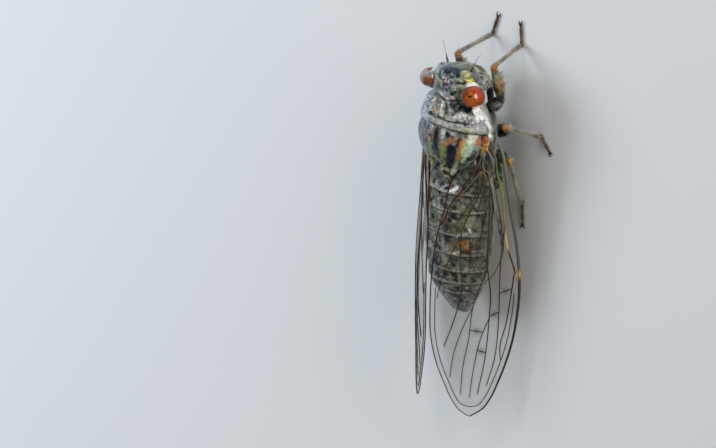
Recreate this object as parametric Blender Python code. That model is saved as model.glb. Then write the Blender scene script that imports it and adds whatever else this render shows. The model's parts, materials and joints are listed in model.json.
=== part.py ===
"""A cicada at rest, modelled at life size as a still display model: head, thorax, abdomen, wings and legs.

Sizes are in millimetres in the insect's own frame, whose origin lies midway between the eyes: +X to its
right, +Y forwards and +Z out of its back. at() turns them into metres in the model's frame, where the feet
stand on Z = 0.
"""

import math

import bmesh
import bpy
import numpy as np
from mathutils import Matrix, Vector
from mathutils.geometry import delaunay_2d_cdt

MM = 0.001
GAP = 0.3  # between pieces that touch
PITCH = math.radians(7.0)  # the head is raised this much
EYE_HEIGHT = 7.45  # of the eye line above the floor
FOOTPRINT_SHIFT = 14.48  # brings the middle of the footprint to the origin

EYE_SPACING = 6.6  # between the centres of the eyes
EYE_RADII = (1.12, 1.02, 1.15)
OCELLUS_RADIUS = 0.34
OCELLI = ((0.0, 1.15, 0.82), (0.72, 0.50, 0.90), (-0.72, 0.50, 0.90))
ANTENNA = (
    (1.90, 2.58, -0.42), (1.98, 2.80, -0.46), (2.16, 3.12, -0.55), (2.52, 3.64, -0.76), (2.95, 4.18, -1.02)
)
ANTENNA_RADII = (0.26, 0.27, 0.22, 0.15, 0.08)
FACE_CENTRE = (0.0, 0.55, -2.40)
FACE_RADII = (1.80, 1.42, 1.85)
FACE_RIDGE_PITCH = 0.62
FACE_RIDGE_DEPTH = 0.035
MUZZLE_CENTRE = (0.0, 0.55, -3.85)
MUZZLE_RADII = (0.80, 0.95, 0.75)
LEDGE_CENTRE = (1.75, 1.75, -0.35)  # over the root of the antenna
LEDGE_RADII = (0.60, 0.62, 0.36)
ROSTRUM = ((-0.10, -4.98), (-0.70, -5.20), (-2.20, -5.50), (-4.20, -5.72), (-5.60, -5.72))
ROSTRUM_RADII = (0.24, 0.40, 0.36, 0.30, 0.16)

COLLAR_BOW = -0.25  # how far the collar's sides lie behind its middle
PRONOTUM_BOW_FROM = -3.0  # where on the pronotum that bow begins
COLLAR_END = -4.5  # until where the plates behind the collar follow its bow
# Lumps on the thorax, on its right side: the two wing hinges and the plate under the drum.
THORAX_LUMPS = (
    ((4.20, -5.00, -1.15), (0.62, 0.62, 0.62)),
    ((3.85, -6.70, -1.90), (0.60, 0.65, 0.50)),
    ((1.65, -10.20, -4.72), (1.30, 1.55, 0.30)),
)

BODY_SIDES = 26
TUCK = 0.18  # how much narrower the belly is than an ellipse
MEMBRANE = 0.5  # thickness of a wing between its veins
VEIN_HEIGHT = 0.2
VEIN_HALF_WIDTH = 0.32
VEIN_STEP = 1.9
RIM_VEIN_INSET = 0.62
RIM_VEIN_START = 16.0
SHEET_GRID = 2.2  # between the points that let a wing's sheet curve
SHEET_MERGE = 0.03  # points of a wing nearer than this become one
# How wide a tergite is along its length, against the body's outline.
TERGITE_SWELL = ((0.0, 0.985), (0.35, 1.0), (0.8, 1.01), (1.0, 1.035))

# Each station is (y, half width, top, level of the widest point, bottom).
HEAD = (
    (-1.30, 3.10, 0.75, -0.80, -3.10),
    (-0.80, 3.20, 0.92, -0.80, -3.40),
    (0.10, 3.10, 1.00, -0.75, -3.55),
    (1.00, 2.85, 0.90, -0.75, -3.40),
    (1.58, 2.42, 0.60, -0.80, -3.10),
    (1.92, 1.85, 0.25, -0.90, -2.70),
    (2.16, 1.08, -0.20, -1.00, -2.10),
)
PRONOTUM = (
    (-1.60, 3.60, 1.15, -0.70, -3.55),
    (-2.15, 4.10, 1.45, -0.75, -3.90),
    (-2.85, 4.40, 1.75, -0.80, -4.30),
    (-3.05, 4.62, 1.92, -0.80, -4.35),
    (-3.70, 4.75, 2.02, -0.85, -4.40),
)
# The mesonotum is a shield: (y, half width, top, rim).
MESONOTUM = (
    (-4.08, 3.60, 1.85, -0.25),
    (-4.70, 3.85, 2.08, -0.15),
    (-5.70, 3.80, 2.15, 0.00),
    (-6.60, 3.30, 2.08, 0.25),
    (-7.40, 2.75, 1.92, 0.50),
    (-8.30, 2.05, 1.70, 0.75),
    (-9.00, 1.45, 1.55, 0.90),
    (-9.60, 0.95, 1.42, 0.95),
)
# One arm of the cross on its rear end, which crosses its mirror image.
SCUTELLUM_ARM = (
    (1.25, -7.65, 1.55), (0.55, -8.35, 1.72), (-0.05, -8.80, 1.72), (-0.55, -9.25, 1.48), (-0.85, -9.55, 1.22)
)
SCUTELLUM_RADII = (0.18, 0.30, 0.32, 0.28, 0.20)
THORAX = (
    (-4.08, 4.20, -0.88, -2.00, -5.00),
    (-5.50, 4.05, -0.75, -2.00, -5.05),
    (-7.00, 3.70, -0.25, -2.00, -5.00),
    (-9.00, 3.55, 0.28, -1.90, -4.90),
    (-9.90, 3.50, 0.40, -1.80, -4.80),
)
ABDOMEN = (
    (-10.20, 3.50, 0.75, -1.90, -4.00),
    (-11.50, 3.65, 1.02, -1.90, -4.15),
    (-13.00, 3.80, 1.18, -1.90, -4.30),
    (-15.40, 3.85, 1.38, -1.80, -4.30),
    (-17.70, 3.72, 1.45, -1.75, -4.10),
    (-19.80, 3.48, 1.38, -1.70, -3.95),
    (-21.30, 3.20, 1.20, -1.65, -3.75),
    (-22.70, 2.48, 0.58, -1.70, -3.40),
    (-24.00, 1.68, -0.22, -1.80, -3.00),
    (-25.00, 0.90, -0.98, -1.90, -2.60),
)
# Where each tergite ends; the last piece is the tip.
TERGITE_ENDS = (-11.15, -13.10, -15.65, -17.85, -19.75, -21.15, -22.40, -25.00)

# The wings lie on a roof whose slope grows outwards. u runs back from the root, q outwards from the ridge.
ROOF_SLOPE = 20.0
ROOF_CURL = 3.5  # degrees of slope gained for each millimetre
ROOT_Y = -5.60
RIDGE = (
    (0.0, 1.50), (3.0, 2.00), (4.9, 2.20), (9.2, 2.60), (11.4, 2.80), (14.4, 2.98), (20.9, 3.00),
    (25.4, 2.85), (29.7, 2.70),
)
FORE_COSTA = (
    (0.3, 6.50), (1.6, 7.12), (2.6, 7.42), (4.5, 7.86), (7.6, 8.60), (10.9, 9.36), (13.6, 9.72),
    (15.4, 9.82), (18.8, 9.58), (21.3, 9.10), (23.5, 8.45), (25.7, 7.60), (27.7, 6.62), (28.9, 5.72),
    (29.7, 4.55),
)
FORE_HIND = (
    (0.3, 4.80), (1.2, 4.04), (2.2, 3.16), (3.2, 2.36), (4.9, 1.60), (9.2, 0.95), (11.7, 0.60),
    (14.6, 0.42), (17.6, 0.38), (20.9, 0.42), (23.1, 0.80), (24.9, 1.37), (26.4, 2.05), (28.4, 2.95),
    (29.3, 3.70), (29.7, 4.55),
)
HIND_COSTA = (
    (2.1, 6.05), (3.9, 6.75), (6.4, 7.40), (8.9, 7.80), (10.9, 7.85), (12.9, 7.30), (14.2, 6.70),
    (14.8, 6.10),
)
HIND_HIND = ((2.1, 5.50), (4.0, 5.62), (7.4, 5.82), (10.4, 5.72), (13.2, 5.45), (14.8, 6.10))
HIND_DROP = MEMBRANE + GAP + VEIN_HEIGHT

# Veins are polylines of (u, q): the radius and its branches, the median, the cubital and the claval veins,
# and last the short cross-veins.
FORE_VEINS = (
    (
        (0.6, 5.75), (2.5, 6.45), (4.4, 7.10), (7.0, 7.66), (10.7, 8.32), (13.6, 9.15), (18.0, 8.90),
        (22.0, 8.20),
    ),
    ((8.5, 7.90), (12.0, 7.75), (16.0, 7.85), (20.0, 7.70), (24.0, 7.15), (27.3, 6.15)),
    (
        (1.0, 5.00), (2.4, 5.40), (3.6, 5.60), (8.0, 6.20), (13.0, 6.40), (17.0, 6.90), (18.5, 6.75),
        (23.0, 6.30), (27.9, 5.40),
    ),
    ((18.5, 6.75), (21.0, 5.90), (24.5, 5.00), (28.3, 4.50)),
    ((13.0, 6.40), (16.0, 5.45), (17.2, 5.05), (21.0, 4.60), (25.0, 3.80), (28.0, 3.60)),
    ((17.2, 5.05), (20.0, 3.90), (24.0, 2.70), (26.0, 2.45)),
    (
        (3.6, 5.60), (4.2, 5.05), (5.8, 4.60), (8.5, 3.75), (12.0, 3.80), (15.0, 3.85), (19.0, 3.00),
        (22.8, 1.75),
    ),
    ((8.5, 3.75), (11.0, 2.80), (14.5, 1.60), (17.3, 0.80)),
    ((1.5, 4.50), (2.7, 4.05), (4.1, 3.42), (5.5, 2.70), (8.3, 1.60)),
    ((15.3, 9.08), (15.8, 7.85)),
    ((17.8, 7.80), (18.3, 6.78)),
    ((20.1, 6.18), (20.0, 4.70)),
    ((16.0, 5.45), (15.4, 3.85)),
)
HIND_VEINS = (
    ((2.6, 5.85), (5.0, 6.70), (9.0, 7.25), (12.6, 6.85), (14.0, 6.20)),
    ((4.4, 6.05), (8.0, 6.15), (12.0, 5.95)),
)
FORE_STEPS = 22  # along the forewing's edge
HIND_STEPS = 12

# Legs, right side: hip, trochanter and knee in the insect's frame, then ankle and toe as (x, y) on the floor.
LEGS = {
    "fore": {
        "hip": (1.45, -2.80, -4.35), "trochanter": (2.60, -1.85, -4.65), "knee": (2.75, 2.05, -3.35),
        "ankle": (2.25, 3.30), "toe": (1.75, 5.30), "femur": 0.66, "tibia": 0.34, "knee_gap": 0.28,
    },
    "middle": {
        "hip": (1.75, -5.60, -5.05), "trochanter": (3.10, -5.05, -5.10), "knee": (4.65, -3.98, -3.35),
        "ankle": (6.50, -5.20), "toe": (7.90, -6.50), "femur": 0.50, "tibia": 0.32, "knee_gap": 0.50,
    },
    "hind": {
        "hip": (1.85, -8.20, -4.95), "trochanter": (3.10, -8.35, -4.95), "knee": (5.05, -7.60, -3.60),
        "ankle": (4.85, -12.80), "toe": (5.20, -15.00), "femur": 0.50, "tibia": 0.32, "knee_gap": 0.50,
    },
}
COXA_SHARES = (0.0, 0.35, 0.75, 1.0)
COXA_RADII = (0.62, 0.70, 0.56, 0.28)
FEMUR_SHARES = (0.0, 0.12, 0.4, 0.75, 0.94, 1.0)
TIBIA_SHARES = (0.0, 0.10, 0.5, 0.9, 1.0)
TARSUS_SHARES = (-0.08, 0.12, 0.7, 1.0)
TARSUS_RADII = (0.24, 0.32, 0.28, 0.20)
FEMUR_START = 0.45  # from the middle of the trochanter
FEMUR_END = 0.12  # from the middle of the knee
FEMUR_SPINES = ((0.36, 0.75), (0.66, 0.6))
KNEE_RADIUS = 0.34
ANKLE_HEIGHT = 0.95
TARSUS_HEIGHT = 0.20  # of the tarsus's middle, whose underside is cut off flat at the floor


def material(name, colour, roughness):
    """A Principled material."""
    made = bpy.data.materials.new(name)
    made.use_nodes = True
    shader = made.node_tree.nodes["Principled BSDF"]
    shader.inputs["Base Color"].default_value = (*colour, 1.0)
    shader.inputs["Roughness"].default_value = roughness
    return made


def at(x, y, z):
    """A point of the insect's frame, in millimetres, as metres in the model's frame."""
    cos, sin = math.cos(PITCH), math.sin(PITCH)
    return Vector((x, y * cos - z * sin + FOOTPRINT_SHIFT, y * sin + z * cos + EYE_HEIGHT)) * MM


def over_floor(x, y, height):
    """A point at a height over the floor, with x and y in the insect's frame."""
    return at(x, y, (height - EYE_HEIGHT - y * math.sin(PITCH)) / math.cos(PITCH))


def smooth(stations, where):
    """The stations' columns at one place, on a smooth curve through them."""
    rows = np.array(stations, float)
    if rows[0, 0] > rows[-1, 0]:
        rows = rows[::-1]
    place = rows[:, 0]
    slopes = np.gradient(rows[:, 1:], place, axis=0)
    i = int(np.clip(np.searchsorted(place, where) - 1, 0, len(place) - 2))
    span = place[i + 1] - place[i]
    t = (where - place[i]) / span
    near, far = rows[i, 1:], rows[i + 1, 1:]
    return (
        (2 * t**3 - 3 * t**2 + 1) * near
        + (t**3 - 2 * t**2 + t) * span * slopes[i]
        + (3 * t**2 - 2 * t**3) * far
        + (t**3 - t**2) * span * slopes[i + 1]
    )


def new_object(name, mesh, finish):
    """A mesh object in the insect's collection."""
    made = bpy.data.objects.new(name, mesh)
    mesh.materials.clear()
    mesh.materials.append(finish)
    insect.objects.link(made)
    mesh.shade_smooth()
    mesh.set_sharp_from_angle(angle=math.radians(40))
    return made


def from_bmesh(name, shape, finish):
    """An object from a bmesh, with its faces pointing out."""
    bmesh.ops.recalc_face_normals(shape, faces=shape.faces[:])
    mesh = bpy.data.meshes.new(name)
    shape.to_mesh(mesh)
    shape.free()
    return new_object(name, mesh, finish)


def round_section(y, half_width, top, side, bottom, bow=0.0):
    """A ring across the body: a half ellipse above the widest level, and one that tucks in below it."""
    ring = []
    for k in range(BODY_SIDES):
        turn = 2 * math.pi * k / BODY_SIDES
        across, rise = math.cos(turn), math.sin(turn)
        height = top - side if rise >= 0 else side - bottom
        x = half_width * across * (1 + TUCK * min(rise, 0.0))
        ring.append(at(x, y + bow * across**2, side + height * rise))
    return ring


def shield_section(y, half_width, top, rim):
    """A ring with a rounded back and a nearly flat underside at the rim."""
    bow = COLLAR_BOW if y > COLLAR_END else 0.0
    ring = []
    for k in range(BODY_SIDES):
        turn = 2 * math.pi * k / BODY_SIDES
        lift = math.sin(turn) * (top - rim) if math.sin(turn) > 0 else 0.25 * math.sin(turn)
        ring.append(at(half_width * math.cos(turn), y + bow * math.cos(turn) ** 2, rim + lift))
    return ring


def loft(name, rings, finish):
    """A closed skin through rings of points, with a flat cap on each end."""
    shape = bmesh.new()
    loops = [[shape.verts.new(point) for point in ring] for ring in rings]
    for near, far in zip(loops, loops[1:]):
        for k in range(len(near)):
            following = (k + 1) % len(near)
            shape.faces.new((near[k], near[following], far[following], far[k]))
    for loop in (loops[0], loops[-1]):
        middle = shape.verts.new(sum((v.co for v in loop), Vector()) / len(loop))
        for k in range(len(loop)):
            shape.faces.new((loop[k], loop[(k + 1) % len(loop)], middle))
    return from_bmesh(name, shape, finish)


def ball(name, centre, radii, finish, segments=14, rings=10):
    """An ellipsoid whose axes follow the insect's."""
    shape = bmesh.new()
    bmesh.ops.create_uvsphere(shape, u_segments=segments, v_segments=rings, radius=1.0)
    for vertex in shape.verts:
        vertex.co = at(*(c + r * v for c, r, v in zip(centre, radii, vertex.co)))
    return from_bmesh(name, shape, finish)


def limb(name, points, radii, finish):
    """A tapering round limb through points in metres, with radii in millimetres."""
    curve = bpy.data.curves.new(name, "CURVE")
    curve.dimensions = "3D"
    curve.bevel_depth = MM
    curve.bevel_resolution = 2
    curve.use_fill_caps = True
    spline = curve.splines.new("POLY")
    spline.points.add(len(points) - 1)
    for point, place, radius in zip(spline.points, points, radii):
        point.co = (*place, 1.0)
        point.radius = radius
    guide = bpy.data.objects.new(name + "_path", curve)
    bpy.context.scene.collection.objects.link(guide)
    graph = bpy.context.evaluated_depsgraph_get()
    mesh = bpy.data.meshes.new_from_object(guide.evaluated_get(graph))
    bpy.data.objects.remove(guide)
    shape = bmesh.new()
    shape.from_mesh(mesh)
    bmesh.ops.remove_doubles(shape, verts=shape.verts[:], dist=0.002 * MM)
    return from_bmesh(name, shape, finish)


def keep_largest(shape):
    """Drops all but the largest closed surface."""
    left = set(shape.faces)
    best, most = set(), -1.0
    while left:
        group, edge = set(), [left.pop()]
        while edge:
            face = edge.pop()
            group.add(face)
            for side in face.edges:
                for other in side.link_faces:
                    if other in left:
                        left.discard(other)
                        edge.append(other)
        size = sum(face.calc_area() for face in group)
        if size > most:
            best, most = group, size
    loose = [face for face in shape.faces if face not in best]
    bmesh.ops.delete(shape, geom=loose, context="FACES")


def boolean(base, pieces, operation):
    """Joins closed pieces to the base, or cuts them from it, and removes them."""
    others = bpy.data.collections.new(base.name + "_pieces")
    for piece in pieces:
        others.objects.link(piece)
    modifier = base.modifiers.new(operation, "BOOLEAN")
    modifier.operation = operation
    modifier.operand_type = "COLLECTION"
    modifier.collection = others
    modifier.solver = "EXACT"
    bpy.context.view_layer.update()
    graph = bpy.context.evaluated_depsgraph_get()
    mesh = bpy.data.meshes.new_from_object(base.evaluated_get(graph))
    base.modifiers.clear()
    finish = base.data.materials[0]
    shape = bmesh.new()
    shape.from_mesh(mesh)
    bmesh.ops.triangulate(shape, faces=shape.faces[:])
    keep_largest(shape)
    shape.to_mesh(mesh)
    shape.free()
    mesh.materials.clear()
    mesh.materials.append(finish)
    for polygon in mesh.polygons:
        polygon.material_index = 0
    base.data = mesh
    for piece in pieces:
        bpy.data.objects.remove(piece)
    bpy.data.collections.remove(others)


def mirrored(source, name):
    """The left-hand copy of a right-hand piece."""
    shape = bmesh.new()
    shape.from_mesh(source.data)
    shape.transform(Matrix.Scale(-1, 4, (1, 0, 0)))
    bmesh.ops.reverse_faces(shape, faces=shape.faces[:])
    mesh = bpy.data.meshes.new(name)
    shape.to_mesh(mesh)
    shape.free()
    return new_object(name, mesh, source.data.materials[0])


def pair(source):
    """Names a right-hand piece and makes its left-hand copy."""
    stem = source.name
    source.name = stem + "_right"
    mirrored(source, stem + "_left")


def hip_sockets(body, legs):
    """Cuts a seat for each hip, a little wider than the hip itself."""
    cutters = []
    for which in legs:
        for side in (-1, 1):
            hip, trochanter = (Vector(LEGS[which][key]) for key in ("hip", "trochanter"))
            places = [hip.lerp(trochanter, share) for share in COXA_SHARES]
            places[0] -= (trochanter - hip).normalized() * GAP
            points = [at(side * place.x, place.y, place.z) for place in places]
            cutters.append(limb("socket", points, [radius + GAP for radius in COXA_RADII], chitin))
    boolean(body, cutters, "DIFFERENCE")


def make_head():
    """The capsule with its bulging face, three ocelli and a socket for each eye."""
    head = loft("head", [round_section(*station) for station in HEAD], chitin)
    face = ball("face", FACE_CENTRE, FACE_RADII, chitin, 20, 22)
    middle = at(*FACE_CENTRE)
    for vertex in face.data.vertices:
        height = (vertex.co.z / MM - EYE_HEIGHT) * 2 * math.pi / FACE_RIDGE_PITCH
        bulge = 1 + FACE_RIDGE_DEPTH * math.cos(height)
        vertex.co.x = middle.x + (vertex.co.x - middle.x) * bulge
        vertex.co.y = middle.y + (vertex.co.y - middle.y) * bulge
    pieces = [face]
    pieces.append(ball("muzzle", MUZZLE_CENTRE, MUZZLE_RADII, chitin, 14, 8))
    for centre in OCELLI:
        pieces.append(ball("ocellus", centre, (OCELLUS_RADIUS,) * 3, chitin, 10, 6))
    x, y, z = LEDGE_CENTRE
    for side in (-1, 1):
        pieces.append(ball("ledge", (side * x, y, z), LEDGE_RADII, chitin, 12, 8))
    boolean(head, pieces, "UNION")
    grown = [radius + GAP for radius in EYE_RADII]
    sockets = []
    for side in (-1, 1):
        sockets.append(ball("socket", (side * EYE_SPACING / 2, 0.0, 0.0), grown, chitin, 24, 16))
    boolean(head, sockets, "DIFFERENCE")


def make_eyes():
    """The compound eyes, set in their sockets."""
    pair(ball("eye", (EYE_SPACING / 2, 0.0, 0.0), EYE_RADII, eye_red, 24, 16))


def make_antennae():
    """A short base and a bristle on each side of the face."""
    points = [at(*place) for place in ANTENNA]
    pair(limb("antenna", points, ANTENNA_RADII, chitin))


def make_rostrum():
    """The beak, folded back between the hips."""
    points = [at(0, y, z) for y, z in ROSTRUM]
    limb("rostrum", points, ROSTRUM_RADII, chitin)


def make_pronotum():
    """The first back plate, with its collar."""
    rings = []
    for y, half_width, top, side, bottom in PRONOTUM:
        bow = COLLAR_BOW if y < PRONOTUM_BOW_FROM else 0.0
        rings.append(round_section(y, half_width, top, side, bottom, bow))
    plate = loft("pronotum", rings, chitin)
    hip_sockets(plate, ("fore",))


def make_mesonotum():
    """The shield of the back, with the cross-shaped ridge at its rear end."""
    shield = loft("mesonotum", [shield_section(*station) for station in MESONOTUM], chitin)
    arms = []
    for side in (-1, 1):
        points = [at(side * x, y, z) for x, y, z in SCUTELLUM_ARM]
        arms.append(limb("arm", points, SCUTELLUM_RADII, chitin))
    boolean(shield, arms, "UNION")


def make_thorax():
    """The sides and underside of the thorax, with a hinge for each wing and a plate under each drum."""
    rings = []
    for y, half_width, top, side, bottom in THORAX:
        bow = COLLAR_BOW if y > COLLAR_END else 0.0
        rings.append(round_section(y, half_width, top, side, bottom, bow))
    thorax = loft("thorax", rings, chitin)
    lumps = []
    for (x, y, z), radii in THORAX_LUMPS:
        for side in (-1, 1):
            lumps.append(ball("lump", (side * x, y, z), radii, chitin))
    boolean(thorax, lumps, "UNION")
    hip_sockets(thorax, LEGS)


def make_abdomen():
    """One closed piece for each tergite and a tip."""
    start = ABDOMEN[0][0]
    for number, end in enumerate(TERGITE_ENDS, 1):
        last = number == len(TERGITE_ENDS)
        length = end + (0 if last else GAP) - start
        rings = []
        for share, swell in TERGITE_SWELL:
            y = start + length * share
            half_width, top, side, bottom = smooth(ABDOMEN, y)
            top = side + (top - side) * swell
            bottom = side - (side - bottom) * swell
            rings.append(round_section(y, half_width * swell, top, side, bottom))
        loft(f"abdomen_{number}", rings, chitin)
        start = end


def roof(u, q, lift=0.0):
    """A point of the wing roof: u back from the root, q out from the ridge, lift out of the sheet."""
    start, curl = math.radians(ROOF_SLOPE), math.radians(ROOF_CURL)
    end = start + curl * q
    out = (math.sin(end) - math.sin(start)) / curl
    drop = (math.cos(start) - math.cos(end)) / curl
    ridge = smooth(RIDGE, u)[0]
    return at(out + lift * math.sin(end), ROOT_Y - u, ridge - drop + lift * math.cos(end))


def resampled(points, step):
    """Points at even steps along a polyline."""
    made = [points[0]]
    for near, far in zip(points, points[1:]):
        count = max(1, round((far - near).length / step))
        made += [near.lerp(far, k / count) for k in range(1, count + 1)]
    return made


def beside(points, offset):
    """A polyline moved sideways."""
    made = []
    for k, point in enumerate(points):
        along = points[min(k + 1, len(points) - 1)] - points[max(k - 1, 0)]
        along.normalize()
        made.append(point + Vector((-along.y, along.x)) * offset)
    return made


def distance_to(point, lines):
    """How far a point lies from the nearest of some polylines."""
    best = 1e9
    for line in lines:
        for near, far in zip(line, line[1:]):
            along = far - near
            share = max(0.0, min(1.0, (point - near).dot(along) / max(along.length_squared, 1e-12)))
            best = min(best, (point - near - along * share).length)
    return best


def wing_outline(costa, hind, count):
    """The wing's edge as a closed polygon, denser towards the tip."""
    start, tip = costa[0][0], costa[-1][0]
    places = [start + (tip - start) * math.sin(0.5 * math.pi * k / count) for k in range(count + 1)]
    lead = [Vector((u, smooth(costa, u)[0])) for u in places]
    trail = [Vector((u, smooth(hind, u)[0])) for u in places[:-1]]
    return lead + trail[::-1]


def rim_vein(outline):
    """The vein that runs a little inside the outer edge, from the node round to the end of the clavus."""
    moved = beside(outline, -RIM_VEIN_INSET)
    return [place for place in moved if place.x > RIM_VEIN_START]


def make_wing(name, costa, hind, veins, drop, count, rim):
    """A curved membrane with its veins raised in its own surface."""
    outline = wing_outline(costa, hind, count)
    lines = [resampled([Vector(place) for place in vein], VEIN_STEP) for vein in veins]
    lines += [rim_vein(outline)] if rim else []
    points, edges = list(outline), []
    margin = lines + [outline + outline[:1]]
    narrow, wide = (edge(place.y for place in outline) for edge in (min, max))
    for u in np.arange(costa[0][0] + SHEET_GRID / 2, costa[-1][0], SHEET_GRID):
        for q in np.arange(narrow + SHEET_GRID / 3, wide, SHEET_GRID):
            place = Vector((u, q))
            if smooth(hind, u)[0] < q < smooth(costa, u)[0] and distance_to(place, margin) > SHEET_GRID / 3:
                points.append(place)
    for line in lines:
        for offset in (-VEIN_HALF_WIDTH, 0.0, VEIN_HALF_WIDTH):
            first = len(points)
            moved = beside(line, offset)
            points += moved
            edges += [(first + k, first + k + 1) for k in range(len(moved) - 1)]
    made = delaunay_2d_cdt(points, edges, [list(range(len(outline)))], 1, SHEET_MERGE)
    flat, triangles = made[0], made[2]
    shape = bmesh.new()
    layers = []
    for side in (1, -1):
        layer = []
        for place in flat:
            near = distance_to(place, lines)
            ridge = VEIN_HEIGHT * max(0.0, 1 - near / VEIN_HALF_WIDTH) if side > 0 else 0.0
            layer.append(shape.verts.new(roof(place.x, place.y, side * (MEMBRANE / 2 + ridge) - drop)))
        layers.append(layer)
    upper, lower = layers
    border = {}
    for triangle in triangles:
        shape.faces.new([upper[k] for k in triangle])
        shape.faces.new([lower[k] for k in reversed(triangle)])
        for a, b in zip(triangle, list(triangle[1:]) + [triangle[0]]):
            if (b, a) in border:
                del border[(b, a)]
            else:
                border[(a, b)] = True
    for a, b in border:
        shape.faces.new((upper[b], upper[a], lower[a], lower[b]))
    return pair(from_bmesh(name, shape, membrane))


def along(start, end, share):
    """A point between two others."""
    return start + (end - start) * share


def trimmed(start, end, cut_start, cut_end):
    """The ends of a stretch, pulled in by given lengths in millimetres."""
    direction = (end - start).normalized() * MM
    return start + direction * cut_start, end - direction * cut_end


def flat_at_floor(thing):
    """Cuts a piece off flat where it would reach below the floor."""
    shape = bmesh.new()
    shape.from_mesh(thing.data)
    everything = shape.verts[:] + shape.edges[:] + shape.faces[:]
    bmesh.ops.bisect_plane(
        shape, geom=everything, plane_co=(0, 0, 0), plane_no=(0, 0, -1), clear_outer=True, dist=1e-7
    )
    rim = [edge for edge in shape.edges if edge.is_boundary]
    bmesh.ops.holes_fill(shape, edges=rim)
    bmesh.ops.triangulate(shape, faces=shape.faces[:])
    bmesh.ops.recalc_face_normals(shape, faces=shape.faces[:])
    shape.to_mesh(thing.data)
    shape.free()


def femur_spines(start, end, thick):
    """The teeth under the stout front thigh, each a cone with its root inside."""
    down = at(0, 0, -1) - at(0, 0, 0)
    spines = []
    for share, length in FEMUR_SPINES:
        root = along(start, end, share)
        tip = root + down * (thick * 0.8 + length) + (end - start).normalized() * length * 0.6 * MM
        spines.append(limb("spine", [root, along(root, tip, 0.5), tip], (0.26, 0.22, 0.08), leg_chitin))
    return spines


def make_leg(which):
    """A leg in four pieces, each face to face with the next."""
    leg = LEGS[which]
    hip, trochanter, knee = (at(*leg[key]) for key in ("hip", "trochanter", "knee"))
    ankle = over_floor(*leg["ankle"], ANKLE_HEIGHT)
    toe = over_floor(*leg["toe"], TARSUS_HEIGHT)
    thick, thin = leg["femur"], leg["tibia"]
    coxa = [along(hip, trochanter, share) for share in COXA_SHARES]
    pair(limb(f"{which}_coxa", coxa, COXA_RADII, chitin))
    start, end = trimmed(trochanter, knee, FEMUR_START, FEMUR_END)
    femur = [along(start, end, share) for share in FEMUR_SHARES]
    femur_radii = (0.26, 0.84 * thick, thick, 0.85 * thick, KNEE_RADIUS, 0.20)
    thigh = limb(f"{which}_femur", femur, femur_radii, leg_chitin)
    if which == "fore":
        boolean(thigh, femur_spines(start, end, thick), "UNION")
    pair(thigh)
    start = end + (end - start).normalized() * (GAP + leg["knee_gap"]) * MM
    end = ankle
    tibia = [along(start, end, share) for share in TIBIA_SHARES]
    shin = limb(f"{which}_tibia", tibia, (0.20, 0.92 * thin, 0.85 * thin, 0.95 * thin, 0.26), leg_chitin)
    pair(shin)
    heel = over_floor(*leg["ankle"], TARSUS_HEIGHT)
    foot = [along(heel, toe, share) for share in TARSUS_SHARES]
    tarsus = limb(f"{which}_tarsus", foot, TARSUS_RADII, leg_chitin)
    flat_at_floor(tarsus)
    pair(tarsus)


bpy.ops.object.select_all(action="DESELECT")
for thing in list(bpy.data.objects):
    bpy.data.objects.remove(thing)
insect = bpy.data.collections.new("cicada")
bpy.context.scene.collection.children.link(insect)

chitin = material("chitin", (0.17, 0.17, 0.13), 0.45)
leg_chitin = material("leg", (0.24, 0.16, 0.08), 0.45)
eye_red = material("eye", (0.55, 0.10, 0.02), 0.15)
membrane = material("wing", (0.42, 0.42, 0.38), 0.25)

make_head()
make_eyes()
make_antennae()
make_rostrum()
make_pronotum()
make_mesonotum()
make_thorax()
make_abdomen()
make_wing("forewing", FORE_COSTA, FORE_HIND, FORE_VEINS, 0.0, FORE_STEPS, True)
make_wing("hindwing", HIND_COSTA, HIND_HIND, HIND_VEINS, HIND_DROP, HIND_STEPS, False)
for leg_name in LEGS:
    make_leg(leg_name)
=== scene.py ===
"""The looks of a cicada at rest: its skin and markings, eyes, clear veined wings, legs, claws and hair.

Sizes are in millimetres in the insect's own frame, whose origin lies midway between the eyes: +X to its
right, +Y forwards and +Z out of its back. in_model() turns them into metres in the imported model's frame.
"""

import json
import math

import bmesh
import bpy
import numpy as np
from mathutils import Matrix, Vector

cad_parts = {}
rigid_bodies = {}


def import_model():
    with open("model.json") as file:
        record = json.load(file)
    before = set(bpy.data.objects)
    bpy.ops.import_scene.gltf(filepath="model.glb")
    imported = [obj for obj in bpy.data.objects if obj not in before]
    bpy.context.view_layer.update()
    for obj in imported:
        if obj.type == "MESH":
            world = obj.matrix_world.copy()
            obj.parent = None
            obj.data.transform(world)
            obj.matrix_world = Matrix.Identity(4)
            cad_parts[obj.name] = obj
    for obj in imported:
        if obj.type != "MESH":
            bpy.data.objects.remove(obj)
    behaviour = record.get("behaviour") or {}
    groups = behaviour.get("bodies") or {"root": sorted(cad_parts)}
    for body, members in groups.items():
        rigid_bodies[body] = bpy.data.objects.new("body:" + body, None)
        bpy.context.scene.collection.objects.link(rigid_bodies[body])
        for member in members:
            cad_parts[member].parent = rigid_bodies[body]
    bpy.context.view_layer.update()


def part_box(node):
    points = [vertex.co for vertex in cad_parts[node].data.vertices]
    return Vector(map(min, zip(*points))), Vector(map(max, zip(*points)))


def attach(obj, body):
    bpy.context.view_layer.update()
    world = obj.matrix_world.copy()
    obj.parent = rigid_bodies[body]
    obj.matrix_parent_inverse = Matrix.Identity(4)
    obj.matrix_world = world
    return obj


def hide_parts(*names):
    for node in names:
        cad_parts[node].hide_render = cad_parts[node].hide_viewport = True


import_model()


def middle_of(node):
    """The middle of a CAD node's box."""
    low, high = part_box(node)
    return (low + high) / 2


MM = 0.001  # in metres
PITCH = math.radians(7.0)  # the head is raised this much
ORIGIN = (middle_of("eye_left") + middle_of("eye_right")) / 2
EYE_SPACING = (middle_of("eye_right") - middle_of("eye_left")).x / MM
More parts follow.
